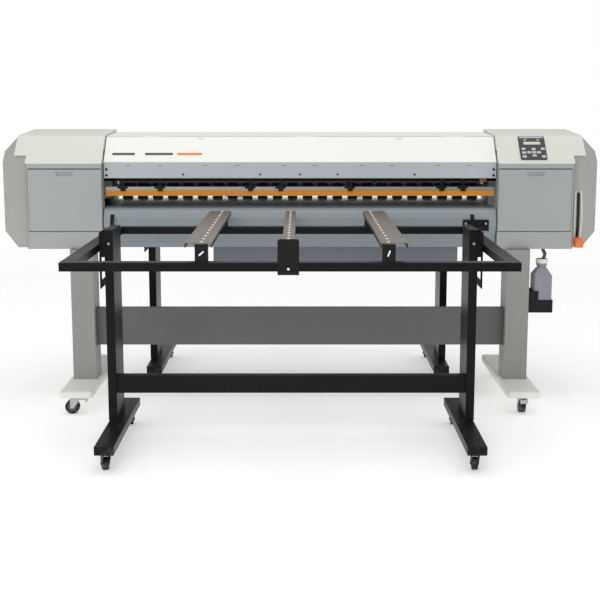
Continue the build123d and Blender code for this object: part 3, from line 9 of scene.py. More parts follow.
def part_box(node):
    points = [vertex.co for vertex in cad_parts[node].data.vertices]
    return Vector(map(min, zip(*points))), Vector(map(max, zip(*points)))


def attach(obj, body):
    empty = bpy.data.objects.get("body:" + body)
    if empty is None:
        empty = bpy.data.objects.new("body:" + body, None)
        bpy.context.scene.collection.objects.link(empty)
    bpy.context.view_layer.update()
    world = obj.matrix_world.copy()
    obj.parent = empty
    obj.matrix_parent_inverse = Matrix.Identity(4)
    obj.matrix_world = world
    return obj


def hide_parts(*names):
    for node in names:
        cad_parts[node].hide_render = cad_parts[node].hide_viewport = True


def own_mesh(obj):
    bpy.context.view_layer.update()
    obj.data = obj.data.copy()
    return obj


bl_info = {
    "name": "Wide-format printer",
    "version": (1, 0, 0),
    "blender": (4, 5, 0),
    "location": "View3D > Sidebar > Printer",
    "description": "Finishes and small parts of a wide-format printer with its stand and board tables",
    "category": "Object",
}

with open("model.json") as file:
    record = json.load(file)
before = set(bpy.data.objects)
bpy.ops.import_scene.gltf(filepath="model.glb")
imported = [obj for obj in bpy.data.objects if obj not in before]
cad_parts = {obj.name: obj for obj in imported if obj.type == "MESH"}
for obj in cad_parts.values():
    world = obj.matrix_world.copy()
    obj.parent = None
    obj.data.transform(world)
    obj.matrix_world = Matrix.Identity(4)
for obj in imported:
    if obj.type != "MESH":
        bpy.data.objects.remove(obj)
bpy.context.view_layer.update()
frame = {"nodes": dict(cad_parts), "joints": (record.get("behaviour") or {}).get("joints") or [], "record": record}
NODES = frame["nodes"]
MM = 0.001


# ---------------------------------------------------------------- settings
def srgb(red, green, blue):
    """A colour given as 0 to 255 on screen, as Blender's linear value."""
    shares = [v / 255 for v in (red, green, blue)]
    return tuple(s / 12.92 if s <= 0.04045 else ((s + 0.055) / 1.055) ** 2.4 for s in shares)


def length(name, about, default):
    return bpy.props.FloatProperty(name=name, description=about, default=default, min=0.0, unit="LENGTH",
                                   precision=4)


def tint(name, about, default):
    return bpy.props.FloatVectorProperty(name=name, description=about, default=default, size=3, min=0.0,
                                         max=1.0, subtype="COLOR")


class StudioSettings(bpy.types.PropertyGroup):
    lens: bpy.props.FloatProperty(name="Lens", description="Focal length for a 36 mm wide film",
                                  default=72.0, unit="CAMERA")
    eye: bpy.props.FloatVectorProperty(name="Camera", description="Where the camera stands", size=3,
                                       default=(0.0, -5.4775, 1.390), subtype="TRANSLATION")
    pitch: bpy.props.FloatProperty(name="Pitch", description="How far the camera looks down",
                                   default=radians(9.46), subtype="ANGLE")
    daylight: bpy.props.FloatProperty(name="Daylight", description="Brightness of the surroundings",
                                      default=0.62)
    overhead: bpy.props.FloatProperty(name="Overhead", description="Power of the lamp above", default=55.0,
                                      unit="POWER")
    front: bpy.props.FloatProperty(name="Front", description="Power of the lamp in front", default=72.0,
                                   unit="POWER")


class FinishSettings(bpy.types.PropertyGroup):
    cover: tint("Covers", "Light covers of the end boxes", srgb(224, 224, 216))
    panel: tint("Doors", "Grey fronts and doors of the end boxes", srgb(167, 171, 170))
    side: tint("Side covers", "Bulged covers at the ends", srgb(172, 174, 168))
    lid: tint("Lid", "White slope of the lid", srgb(246, 246, 241))
    lid_face: tint("Lid face", "Grey upright face of the lid", srgb(181, 187, 191))
    apron: tint("Apron", "Sheet in front of the bed", srgb(146, 155, 160))
    steel: tint("Table", "Black coat of the board tables", srgb(14, 13, 14))
    amber: tint("Shield", "Amber light shield", srgb(226, 140, 8))
    orange: tint("Handle", "Lever handle", srgb(250, 120, 45))


class DetailSettings(bpy.types.PropertyGroup):
    edge: length("Edge", "Rounding of sheet and moulding edges", 0.9 * MM)
    screw: length("Screw", "Radius of a cover screw's head", 6.0 * MM)
    bolt: length("Bolt", "Radius of a frame bolt's head", 6.5 * MM)
    key: length("Key", "Side of a key on the panel", 14 * MM)


GROUPS = {"studio": StudioSettings, "finishes": FinishSettings, "details": DetailSettings}


def setting(group, name):
    return getattr(getattr(bpy.context.scene, "printer_" + group), name)


# ---------------------------------------------------------------- shared shader groups
def node_group(name, inputs, outputs):
    """An empty shader group with float, colour or vector sockets."""
    kinds = {"value": "NodeSocketFloat", "colour": "NodeSocketColor", "vector": "NodeSocketVector"}
    tree = bpy.data.node_groups.new(name, "ShaderNodeTree")
    for socket, kind, default in inputs:
        made = tree.interface.new_socket(socket, in_out="INPUT", socket_type=kinds[kind])
        if default is not None:
            made.default_value = default
    for socket, kind in outputs:
        tree.interface.new_socket(socket, in_out="OUTPUT", socket_type=kinds[kind])
    return tree, tree.nodes.new("NodeGroupInput"), tree.nodes.new("NodeGroupOutput")


def noise(tree, vector, scale, detail=2.0, rough=0.5):
    node = tree.nodes.new("ShaderNodeTexNoise")
    node.inputs["Detail"].default_value = detail
    node.inputs["Roughness"].default_value = rough
    tree.links.new(vector, node.inputs["Vector"])
    if isinstance(scale, float):
        node.inputs["Scale"].default_value = scale
    else:
        tree.links.new(scale, node.inputs["Scale"])
    return node.outputs["Fac"]


def math_node(tree, operation, first, second, clamp=False):
    node = tree.nodes.new("ShaderNodeMath")
    node.operation = operation
    node.use_clamp = clamp
    for socket, value in zip(node.inputs, (first, second)):
        if isinstance(value, float):
            socket.default_value = value
        else:
            tree.links.new(value, socket)
    return node.outputs[0]


def map_range(tree, value, low, high, to_low=0.0, to_high=1.0):
    node = tree.nodes.new("ShaderNodeMapRange")
    tree.links.new(value, node.inputs["Value"])
    for socket, number in zip(node.inputs[1:5], (low, high, to_low, to_high)):
        socket.default_value = number
    return node.outputs["Result"]


def mix_colour(tree, factor, first, second, blend="MIX"):
    node = tree.nodes.new("ShaderNodeMix")
    node.data_type = "RGBA"
    node.blend_type = blend
    for socket, value in ((node.inputs[0], factor), (node.inputs[6], first), (node.inputs[7], second)):
        if isinstance(value, (float, tuple)):
            socket.default_value = value if isinstance(value, float) else (*value, 1.0)
        else:
            tree.links.new(value, socket)
    return node.outputs[2]


def tone_group():
    """Slow drift of a colour over a large surface, with faint soiling near the floor."""
    tree, given, put = node_group("Tone", [("Vector", "vector", None), ("Colour", "colour", None),
                                           ("Drift", "value", 0.04), ("Soil", "value", 0.0)],
                                  [("Colour", "colour"), ("Mask", "value")])
    vector = given.outputs["Vector"]
    slow = map_range(tree, noise(tree, vector, 2.3, 3.0), 0.3, 0.7)
    shade = math_node(tree, "MULTIPLY", slow, given.outputs["Drift"])
    darker = mix_colour(tree, 1.0, given.outputs["Colour"], (0.45, 0.44, 0.42), "MULTIPLY")
    toned = mix_colour(tree, shade, given.outputs["Colour"], darker)
    parts = tree.nodes.new("ShaderNodeSeparateXYZ")
    tree.links.new(vector, parts.inputs[0])
    near_floor = map_range(tree, parts.outputs["Z"], 0.0, 0.16, 1.0, 0.0)
    specks = map_range(tree, noise(tree, vector, 38.0, 6.0, 0.7), 0.45, 0.75)
    patches = math_node(tree, "MULTIPLY", near_floor, specks)
    soil = math_node(tree, "MULTIPLY", patches, given.outputs["Soil"])
    tree.links.new(mix_colour(tree, soil, toned, (0.33, 0.31, 0.28)), put.inputs["Colour"])
    tree.links.new(slow, put.inputs["Mask"])
    return tree


def grain_group():
    """Height of a moulded or powder-coated skin: fine pips over a slower orange peel."""
    tree, given, put = node_group("Grain", [("Vector", "vector", None), ("Scale", "value", 700.0)],
                                  [("Height", "value")])
    fine = noise(tree, given.outputs["Vector"], given.outputs["Scale"], 1.0)
    peel = noise(tree, given.outputs["Vector"], math_node(tree, "MULTIPLY", given.outputs["Scale"], 0.22))
    slow = math_node(tree, "MULTIPLY", peel, 0.5)
    tree.links.new(math_node(tree, "ADD", slow, fine), put.inputs["Height"])
    return tree


def brushed_group():
    """Fine lines along one axis, for rolled or brushed metal."""
    tree, given, put = node_group("Brushed", [("Vector", "vector", None), ("Stretch", "vector", None)],
                                  [("Height", "value"), ("Mask", "value")])
    along = tree.nodes.new("ShaderNodeVectorMath")
    along.operation = "MULTIPLY"
    tree.links.new(given.outputs["Vector"], along.inputs[0])
    tree.links.new(given.outputs["Stretch"], along.inputs[1])
    lines = noise(tree, along.outputs[0], 1.0, 4.0, 0.6)
    tree.links.new(lines, put.inputs["Height"])
    tree.links.new(map_range(tree, lines, 0.35, 0.65), put.inputs["Mask"])
    return tree


def scuff_group():
    """Sparse light scuffs where a coat has been rubbed."""
    tree, given, put = node_group("Scuffs", [("Vector", "vector", None), ("Amount", "value", 0.3)],
                                  [("Mask", "value")])
    patches = map_range(tree, noise(tree, given.outputs["Vector"], 9.0, 2.0), 0.55, 0.72)
    lines = map_range(tree, noise(tree, given.outputs["Vector"], 160.0, 8.0, 0.75), 0.60, 0.68)
    scuffs = math_node(tree, "MULTIPLY", patches, lines)
    mask = math_node(tree, "MULTIPLY", scuffs, given.outputs["Amount"], True)
    tree.links.new(mask, put.inputs["Mask"])
    return tree


SHARED = {"Tone": tone_group, "Grain": grain_group, "Brushed": brushed_group, "Scuffs": scuff_group}


def shared(tree, name, **values):
    """Places a shared group in a material and sets or links its inputs."""
    node = tree.nodes.new("ShaderNodeGroup")
    node.node_tree = bpy.data.node_groups.get(name) or SHARED[name]()
    for socket, value in values.items():
        if isinstance(value, bpy.types.NodeSocket):
            tree.links.new(value, node.inputs[socket])
        else:
            node.inputs[socket].default_value = (*value, 1.0) if socket == "Colour" else value
    return node


# ---------------------------------------------------------------- materials
def start_material(name):
    """A new material, its Principled shader and its Object coordinates."""
    material = bpy.data.materials.new(name)
    material.use_nodes = True
    tree = material.node_tree
    place = tree.nodes.new("ShaderNodeTexCoord").outputs["Object"]
    return material, tree, tree.nodes["Principled BSDF"], place


def dull_if_dark(shader, colour):
    """Dark coats get a weaker reflection, so that they stay dark in a white room."""
    shader.inputs["Specular IOR Level"].default_value = 0.5 if max(colour) > 0.08 else 0.16


def add_bump(tree, shader, height, strength, distance):
    bump = tree.nodes.new("ShaderNodeBump")
    bump.inputs["Strength"].default_value = strength
    bump.inputs["Distance"].default_value = distance
    tree.links.new(height, bump.inputs["Height"])
    tree.links.new(bump.outputs["Normal"], shader.inputs["Normal"])


def vary_roughness(tree, shader, mask, low, high):
    tree.links.new(map_range(tree, mask, 0.0, 1.0, low, high), shader.inputs["Roughness"])


def moulded(name, colour, rough=0.45, grain=650.0, depth=0.12, drift=0.05, soil=0.0):
    """Moulded plastic with a fine spark-eroded grain."""
    material, tree, shader, place = start_material(name)
    dull_if_dark(shader, colour)
    tone = shared(tree, "Tone", Vector=place, Colour=colour, Drift=drift, Soil=soil)
    tree.links.new(tone.outputs["Colour"], shader.inputs["Base Color"])
    vary_roughness(tree, shader, tone.outputs["Mask"], rough - 0.04, rough + 0.05)
    add_bump(tree, shader, shared(tree, "Grain", Vector=place, Scale=grain).outputs["Height"], depth, 0.0004)
    return material


def coated(name, colour, rough=0.38, scuffs=0.0, soil=0.0, drift=0.05):
    """Powder-coated steel: orange peel, and scuffs where it has been rubbed."""
    material, tree, shader, place = start_material(name)
    dull_if_dark(shader, colour)
    tone = shared(tree, "Tone", Vector=place, Colour=colour, Drift=drift, Soil=soil)
    rubbed = shared(tree, "Scuffs", Vector=place, Amount=scuffs).outputs["Mask"]
    tree.links.new(mix_colour(tree, rubbed, tone.outputs["Colour"], (0.22, 0.21, 0.20)),
                   shader.inputs["Base Color"])
    vary_roughness(tree, shader, tone.outputs["Mask"], rough - 0.05, rough + 0.06)
    add_bump(tree, shader, shared(tree, "Grain", Vector=place, Scale=420.0).outputs["Height"], 0.14, 0.0005)
    return material


def bare(name, colour, rough=0.32, stretch=(4.0, 500.0, 500.0), drift=0.06):
    """Bare metal with rolled or brushed lines."""
    material, tree, shader, place = start_material(name)
    shader.inputs["Metallic"].default_value = 1.0
    lines = shared(tree, "Brushed", Vector=place, Stretch=stretch)
    tone = shared(tree, "Tone", Vector=place, Colour=colour, Drift=drift, Soil=0.0)
    streaks = math_node(tree, "MULTIPLY", lines.outputs["Mask"], 0.25)
    tree.links.new(mix_colour(tree, streaks, tone.outputs["Colour"], (0.25, 0.25, 0.25)),
                   shader.inputs["Base Color"])
    vary_roughness(tree, shader, lines.outputs["Mask"], rough - 0.06, rough + 0.1)
    add_bump(tree, shader, lines.outputs["Height"], 0.08, 0.0003)
    return material


def rubbery(name, colour, rough=0.75, soil=0.5):
    """Matt rubber or soft plastic, dusty where it rolls."""
    return moulded(name, colour, rough, 900.0, 0.25, 0.12, soil)


def glossy(name, colour, rough=0.2, through=0.0, coat=0.3):
    """Smooth plastic, clear or tinted through."""
    material, tree, shader, place = start_material(name)
    tone = shared(tree, "Tone", Vector=place, Colour=colour, Drift=0.03, Soil=0.0)
    tree.links.new(tone.outputs["Colour"], shader.inputs["Base Color"])
    vary_roughness(tree, shader, tone.outputs["Mask"], rough - 0.04, rough + 0.06)
    shader.inputs["Transmission Weight"].default_value = through
    shader.inputs["Coat Weight"].default_value = coat
    shader.inputs["Coat Roughness"].default_value = 0.08
    add_bump(tree, shader, shared(tree, "Grain", Vector=place, Scale=120.0).outputs["Height"], 0.03, 0.0005)
    return material


def split_by_height(material, height, low_colour, axis="Z"):
    """Gives a material another colour below a height, or before a depth."""
    tree = material.node_tree
    shader = tree.nodes["Principled BSDF"]
    link = shader.inputs["Base Color"].links[0]
    above = link.from_socket
    place = next(n for n in tree.nodes if n.type == "TEX_COORD").outputs["Object"]
    parts = tree.nodes.new("ShaderNodeSeparateXYZ")
    tree.links.new(place, parts.inputs[0])
    below = map_range(tree, parts.outputs[axis], height - 0.6 * MM, height + 0.6 * MM, 1.0, 0.0)
    tree.links.new(mix_colour(tree, below, above, low_colour), shader.inputs["Base Color"])
    return material


def lid_finish():
    """White slope over a grey upright face."""
    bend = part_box("front_cover")[0].z + LID_FACE
    return split_by_height(coated("lid_coat", tuple(setting("finishes", "lid")), 0.34), bend,
                           tuple(setting("finishes", "lid_face")))


def stand_finish():
    """Grey columns standing on light feet."""
    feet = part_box("stand_legs")[0].z + FOOT_HEIGHT
    coat = coated("stand_coat", srgb(151, 150, 147), 0.42, 0.05, 0.2)
    return split_by_height(coat, feet, srgb(238, 238, 230))


def support_finish():
    """Bare metal on top of the supports, black on their posts and front plates."""
    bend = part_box("support_left")[1].z - 9 * MM
    black = srgb(18, 17, 18)
    material = split_by_height(coated("support_coat", srgb(122, 114, 107), 0.34, 0.2), bend, black)
    split_by_height(material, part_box("support_left")[0].y - 2 * MM, black, "Y")
    material.node_tree.nodes["Principled BSDF"].inputs["Specular IOR Level"].default_value = 0.2
    return material


def chosen(name):
    return tuple(setting("finishes", name))


FINISHES = {
    "stand_grey": stand_finish,
    "beam_grey": lambda: coated("beam_coat", srgb(100, 99, 97), 0.45, 0.08, 0.0),
    "caster_zinc": lambda: bare("zinc", srgb(190, 190, 194), 0.34),
    "caster_rubber": lambda: rubbery("caster_rubber", srgb(40, 40, 42)),
    "frame_steel": lambda: coated("frame_coat", srgb(118, 126, 134), 0.4),
    "apron_grey": lambda: coated("apron_coat", chosen("apron"), 0.3, 0.04),
    "platen_metal": lambda: bare("bed_metal", srgb(232, 233, 230), 0.42, (500.0, 6.0, 500.0)),
    "grit_roller": lambda: bare("roller_grit", srgb(150, 150, 153), 0.55, (300.0, 300.0, 300.0)),
    "guide_metal": lambda: coated("guide_coat", srgb(214, 217, 216), 0.34),
    "rail_black": lambda: coated("rail_coat", srgb(24, 24, 26), 0.36),
    "carriage_black": lambda: moulded("carriage_skin", srgb(30, 30, 33), 0.4),
    "head_metal": lambda: bare("head_metal", srgb(160, 160, 164), 0.3),
    "lamp_housing": lambda: coated("lamp_coat", srgb(44, 44, 58), 0.35),
    "belt_rubber": lambda: rubbery("belt_rubber", srgb(28, 28, 28), 0.7, 0.0),
    "motor_black": lambda: coated("motor_coat", srgb(30, 30, 33), 0.4),
    "station_grey": lambda: moulded("station_skin", srgb(74, 76, 80), 0.5),
    "pinch_black": lambda: moulded("pinch_skin", srgb(22, 22, 24), 0.38),
    "pinch_rubber": lambda: rubbery("pinch_rubber", srgb(96, 96, 98), 0.7, 0.0),
    "lid_white": lid_finish,
    "amber_acrylic": lambda: glossy("amber_acrylic", chosen("amber"), 0.16, 0.1, 0.1),
    "strip_metal": lambda: bare("strip_metal", srgb(150, 148, 146), 0.3),
    "clamp_black": lambda: moulded("black_fitting", srgb(20, 20, 21), 0.36),
    "cover_light": lambda: moulded("cover_skin", chosen("cover"), 0.46, 560.0, 0.16),
    "panel_grey": lambda: moulded("panel_skin", chosen("panel"), 0.44, 560.0, 0.16),
    "side_grey": lambda: moulded("side_skin", chosen("side"), 0.46, 560.0, 0.16),
    "lever_steel": lambda: bare("lever_metal", srgb(176, 176, 178), 0.3, (500.0, 500.0, 5.0)),
    "handle_orange": lambda: glossy("handle_plastic", chosen("orange"), 0.34, 0.0, 0.2),
    "panel_black": lambda: glossy("panel_membrane", srgb(36, 36, 38), 0.32, 0.0, 0.2),
    "box_blue_grey": lambda: coated("box_coat", srgb(112, 120, 128), 0.4),
    "holder_black": lambda: coated("holder_coat", srgb(34, 32, 40), 0.42, 0.1),
    "bottle_plastic": lambda: glossy("bottle_plastic", srgb(176, 174, 186), 0.42, 0.35, 0.0),
    "hose_plastic": lambda: glossy("hose_plastic", srgb(92, 90, 84), 0.35, 0.25, 0.0),
    "table_black": lambda: coated("table_coat", chosen("steel"), 0.36, 0.2, 0.35, 0.1),
    "support_metal": support_finish,
    "caster_black": lambda: coated("caster_coat", srgb(22, 22, 23), 0.4, 0.2, 0.6),
    "table_wheel": lambda: rubbery("wheel_rubber", srgb(30, 30, 31)),
    # finishes of the small parts that are only here
    "display": lambda: glossy("display_glass", srgb(214, 210, 176), 0.15, 0.0, 0.6),
    "key": lambda: moulded("key_skin", srgb(196, 198, 196), 0.5, 900.0),
    "nylon": lambda: moulded("white_nylon", srgb(238, 238, 234), 0.34, 900.0, 0.05),
    "faint_mark": lambda: coated("faint_mark", srgb(146, 149, 150), 0.4),
    "dark_mark": lambda: glossy("dark_mark", srgb(70, 72, 76), 0.35, 0.0, 0.0),
    # near-black painted shade, for hole insides and door gaps where there is only shadow
    "painted_shade": lambda: moulded("shadowed_hole", srgb(12, 12, 13), 0.8),
    "sensor": lambda: glossy("sensor_plastic", srgb(150, 62, 28), 0.35),
}
MADE = {}


def finish(name):
    """The material of that name, made once."""
    if name not in MADE:
        MADE[name] = FINISHES[name]()
    return MADE[name]


# ---------------------------------------------------------------- mesh helpers
TURNS = {"x": Matrix.Rotation(pi / 2, 4, "Y"), "y": Matrix.Rotation(-pi / 2, 4, "X"),
         "z": Matrix.Identity(4)}


def add_block(mesh, low, high):
    """A box between two corners."""
    low, high = Vector(low), Vector(high)
    place = Matrix.Translation((low + high) / 2) @ Matrix.Diagonal((*(high - low), 1.0))
    return bmesh.ops.create_cube(mesh, size=1.0, matrix=place)["verts"]


def add_disc(mesh, centre, axis, radius, depth, segments=24, tip=None):
    """A short cylinder or cone about X, Y or Z."""
    return bmesh.ops.create_cone(mesh, cap_ends=True, segments=segments, radius1=radius,
                                 radius2=radius if tip is None else tip, depth=depth,
                                 matrix=Matrix.Translation(centre) @ TURNS[axis])["verts"]


def add_screw(mesh, centre, normal, radius, height, sides=12):
    """A screw head standing on a surface, tapered, with a recess in its top."""
    before = set(mesh.verts)
    made = bmesh.ops.create_cone(mesh, cap_ends=True, segments=sides, radius1=radius, radius2=0.82 * radius,
                                 depth=height, matrix=Matrix.Translation((0, 0, height / 2)))["verts"]
    top = max({f for v in made for f in v.link_faces}, key=lambda f: f.calc_center_median().z)
    bmesh.ops.inset_region(mesh, faces=[top], thickness=0.40 * radius)
    bmesh.ops.translate(mesh, verts=top.verts, vec=(0, 0, -0.6 * height))
    turn = Vector(normal).to_track_quat("Z", "Y").to_matrix().to_4x4()
    bmesh.ops.transform(mesh, verts=list(set(mesh.verts) - before), matrix=Matrix.Translation(centre) @ turn)


def finish_piece(mesh, name, body, material, rounding=0.0):
    """Turns a bmesh into a piece that rides on a body."""
    if rounding:
        sharp = [e for e in mesh.edges if e.is_manifold and e.calc_face_angle() > radians(40)]
        bmesh.ops.bevel(mesh, geom=sharp, offset=rounding, offset_type="OFFSET", segments=2, profile=0.5,
                        affect="EDGES", clamp_overlap=True, material=-1)
    bmesh.ops.recalc_face_normals(mesh, faces=mesh.faces)
    data = bpy.data.meshes.new(name)
    mesh.to_mesh(data)
    mesh.free()
    data.materials.append(finish(material))
    data.shade_smooth()
    data.set_sharp_from_angle(angle=radians(35))
    piece = bpy.data.objects.new(name, data)
    bpy.context.scene.collection.objects.link(piece)
    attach(piece, body)
    return piece


def soften(node, width):
    """Rounds a CAD node's edges for show with modifiers, and leaves its mesh alone."""
    piece = NODES[node]
    weld = piece.modifiers.new("Weld", "WELD")
    weld.merge_threshold = 0.01 * MM
    bevel = piece.modifiers.new("Edges", "BEVEL")
    bevel.width = width
    bevel.segments = 2
    bevel.limit_method = "ANGLE"
    bevel.angle_limit = radians(38)
    bevel.harden_normals = True


# ---------------------------------------------------------------- sizes of the small parts
LID_FACE = 73 * MM                       # height of the lid's upright face
LID_SLOPE = pi / 4
FOOT_HEIGHT = 42 * MM                    # top of the stand's feet, above their undersides
PANEL_LAYOUT = [(-42, -8), (-42, -32), (-42, -56), (4, -10), (4, -50), (-18, -30), (26, -30), (4, -30),
                (46, -8), (46, -56)]     # keys on the panel, from its middle, in millimetres
BALL_PITCH, BALL_START, BALL_R = 96 * MM, 17 * MM, 7 * MM
REAR_BALL_XS = (-0.340, 0.320)
BALL_SHELL = 0.12 * MM                   # how much larger the white shells are than the CAD's balls
LEG_INSET, LEG_DEPTH, LEG_WIDTH = 179 * MM, 200 * MM, 35 * MM
SLOT_HALF_ANGLE = radians(30)            # half of the lever's travel
CRESCENT_NEAR, CRESCENT_FAR, CRESCENT_DEPTH = 8 * MM, 15 * MM, 7 * MM
BADGE_RISE, BADGE_HALF = 50 * MM, 7 * MM
CATCH_X = (0.745, 0.865)
SENSOR_X = (0.826, 0.858)
LOUVRE_STEP, LOUVRE_HEIGHT, LOUVRE_PROUD = 13 * MM, 7 * MM, 4 * MM
BALL_OFFSETS = {"support_left": 10.5 * MM, "support_center": 0.0, "support_right": -18 * MM}


# ---------------------------------------------------------------- operators
class PieceOperator:
    """What the operators share: they undo, and they finish at once."""
    bl_options = {"REGISTER", "UNDO"}

    def execute(self, context):
        self.build()
        return {"FINISHED"}


class PRINTER_OT_studio(PieceOperator, bpy.types.Operator):
    """Camera, soft light and a pale floor"""
    bl_idname = "printer.studio"
    bl_label = "Studio"

    def build(self):
        scene = bpy.context.scene
        data = bpy.data.cameras.new("camera")
        data.lens = setting("studio", "lens")
        data.sensor_width = 36.0
        camera = bpy.data.objects.new("camera", data)
        camera.location = setting("studio", "eye")
        camera.rotation_euler = (pi / 2 - setting("studio", "pitch"), 0, 0)
        scene.collection.objects.link(camera)
        scene.camera = camera
        scene.view_settings.view_transform = "Standard"
        self.lamp("overhead", (0.0, -0.6, 4.6), (0, 0, 0), 5.0)
        self.lamp("front", (-1.2, -5.6, 2.6), (radians(68), 0, radians(-12)), 3.5)
        world = bpy.data.worlds.new("daylight")
        world.use_nodes = True
        background = world.node_tree.nodes["Background"]
        background.inputs["Color"].default_value = (1.0, 1.0, 1.0, 1.0)
        background.inputs["Strength"].default_value = setting("studio", "daylight")
        self.whiten(world.node_tree, background)
        scene.world = world
        self.floor()

    def lamp(self, name, place, turn, size):
        data = bpy.data.lights.new(name, "AREA")
        data.energy = setting("studio", name)
        data.size = size
        lamp = bpy.data.objects.new(name, data)
        lamp.location, lamp.rotation_euler = place, turn
        bpy.context.scene.collection.objects.link(lamp)

    def whiten(self, tree, background):
        """The surroundings look white, whatever light they give."""
        seen = tree.nodes.new("ShaderNodeBackground")
        seen.inputs["Strength"].default_value = 1.0
        seen.inputs["Color"].default_value = (1.0, 1.0, 1.0, 1.0)
        mix = tree.nodes.new("ShaderNodeMixShader")
        path = tree.nodes.new("ShaderNodeLightPath")
        tree.links.new(path.outputs["Is Camera Ray"], mix.inputs[0])
        tree.links.new(background.outputs[0], mix.inputs[1])
        tree.links.new(seen.outputs[0], mix.inputs[2])
        tree.links.new(mix.outputs[0], tree.nodes["World Output"].inputs["Surface"])

    def floor(self):
        """A round pale floor that fades into the surroundings."""
        mesh = bmesh.new()
        bmesh.ops.create_circle(mesh, cap_ends=True, segments=96, radius=9.0)
        data = bpy.data.meshes.new("floor")
        mesh.to_mesh(data)
        mesh.free()
        material, tree, shader, place = start_material("floor_paint")
        shader.inputs["Base Color"].default_value = (0.95, 0.95, 0.95, 1.0)
        shader.inputs["Roughness"].default_value = 0.9
        shader.inputs["Specular IOR Level"].default_value = 0.1
        shader.inputs["Emission Color"].default_value = (1.0, 1.0, 1.0, 1.0)
        shader.inputs["Emission Strength"].default_value = 0.3
        distance = tree.nodes.new("ShaderNodeVectorMath")
        distance.operation = "LENGTH"
        tree.links.new(place, distance.inputs[0])
        fade = map_range(tree, distance.outputs["Value"], 2.6, 6.5, 1.0, 0.0)
        tree.links.new(fade, shader.inputs["Alpha"])
        data.materials.append(material)
        floor = bpy.data.objects.new("floor", data)
        bpy.context.scene.collection.objects.link(floor)


class PRINTER_OT_coats(PieceOperator, bpy.types.Operator):
    """Finishes of all CAD nodes, and rounded edges on sheet and mouldings"""
    bl_idname = "printer.coats"
    bl_label = "Coats"

    softened = {
        "front_frames": 1.0, "left_door": 0.6, "right_door": 0.6, "left_end_cover": 1.4,
        "right_end_cover": 1.4, "left_side_cover": 1.4, "right_side_cover": 1.2, "front_cover": 0.8,
        "rear_cover": 1.0, "stand_legs": 1.2, "stand_beam": 1.2, "base_frame": 1.2, "electronics_box": 0.8,
        "front_table_legs": 1.2, "front_table_brackets": 1.0, "rear_table_legs": 1.2, "table_hooks": 0.8,
        "bottle_holder": 0.8, "control_panel": 0.8, "carriage": 1.2, "shield_clamps": 0.8, "platen": 0.6,
        "pinch_arms": 0.8,
    }

    def build(self):
        for part in frame["record"]["subparts"]:
            data = NODES[part["node"]].data
            data.materials.clear()
            data.materials.append(finish(part["material_slot"]))
        for node, share in self.softened.items():
            soften(node, share * setting("details", "edge"))


class PRINTER_OT_lid_parts(PieceOperator, bpy.types.Operator):
    """Screws, embossed tabs, top catches and plain badge bars of the lid"""
    bl_idname = "printer.lid_parts"
    bl_label = "Lid parts"

    screw_row = (-0.535, -0.182, 0.0, 0.172, 0.525)
    tab_row = (-0.784, -0.640, -0.434, -0.287, -0.075, 0.068, 0.280, 0.420, 0.630, 0.775)
    badges = {"dark_mark": ((-0.863, -0.758), (-0.712, -0.583)), "handle_orange": ((-0.565, -0.450),)}

    def build(self):
        low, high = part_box("front_cover")
        front = low.y
        screws = bmesh.new()
        for side in (-1, 1):
            for z in (low.z + 13 * MM, low.z + 40 * MM):
                place = (side * (high.x - 12 * MM), front, z)
                add_screw(screws, place, (0, -1, 0), setting("details", "screw"), 2.4 * MM)
        for x in self.screw_row:
            add_screw(screws, (x, front, low.z + 17 * MM), (0, -1, 0), 0.8 * setting("details", "screw"),
                      2 * MM)
        finish_piece(screws, "lid_screws", "lid", "clamp_black")
        tabs = bmesh.new()
        for x in self.tab_row:
            add_block(tabs, (x - 9 * MM, front - 1 * MM, low.z + 56 * MM),
                      (x + 9 * MM, front + 0.5 * MM, low.z + 61 * MM))
        finish_piece(tabs, "lid_tabs", "lid", "faint_mark", 0.4 * MM)
        catches = bmesh.new()
        for x in (-0.46, 0.46):
            add_block(catches, (x - 14 * MM, high.y - 22 * MM, high.z - 8 * MM),
                      (x + 14 * MM, high.y - 12 * MM, high.z - 1.2 * MM))
        finish_piece(catches, "lid_catches", "lid", "lid_white", 0.8 * MM)
        self.clamp_blocks()
        for number, (material, spans) in enumerate(self.badges.items()):
            bars = bmesh.new()
            for x0, x1 in spans:
                self.bar(bars, x0, x1, front, low.z + LID_FACE)
            finish_piece(bars, f"badge_bars_{number + 1}", "lid", material)

    def clamp_blocks(self):
        """A wide black block at each clamp of the shield, over the top of the metal strip."""
        strip_low, strip_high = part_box("shield_strip")
        starts = []
        for x in sorted(v.co.x for v in NODES["shield_clamps"].data.vertices):
            if not starts or x > starts[-1] + 60 * MM:
                starts.append(x)
        mesh = bmesh.new()
        for x in starts:
            add_block(mesh, (x - 14 * MM, strip_low.y - 1.5 * MM, strip_high.z - 9 * MM),
                      (x + 34 * MM, strip_low.y + 4 * MM, strip_high.z + 5 * MM))
        finish_piece(mesh, "clamp_blocks", "lid", "clamp_black", 1 * MM)

    def bar(self, mesh, x0, x1, front, bend):
        """A thin round-ended bar lying on the slope, a little way up from the bend."""
        before = set(mesh.verts)
        verts = add_block(mesh, (x0, -BADGE_HALF, -0.3 * MM), (x1, BADGE_HALF, 0.6 * MM))
        edges = {e for v in verts for e in v.link_edges}
        ends = [e for e in edges if (e.verts[0].co - e.verts[1].co).xy.length < MM]
        bmesh.ops.bevel(mesh, geom=ends, offset=6 * MM, offset_type="OFFSET", segments=5, profile=0.5,
                        affect="EDGES", material=-1)
        middle = Vector((0, front + BADGE_RISE * cos(LID_SLOPE), bend + BADGE_RISE * sin(LID_SLOPE)))
        bmesh.ops.transform(mesh, verts=list(set(mesh.verts) - before),
                            matrix=Matrix.Translation(middle) @ Matrix.Rotation(LID_SLOPE, 4, "X"))


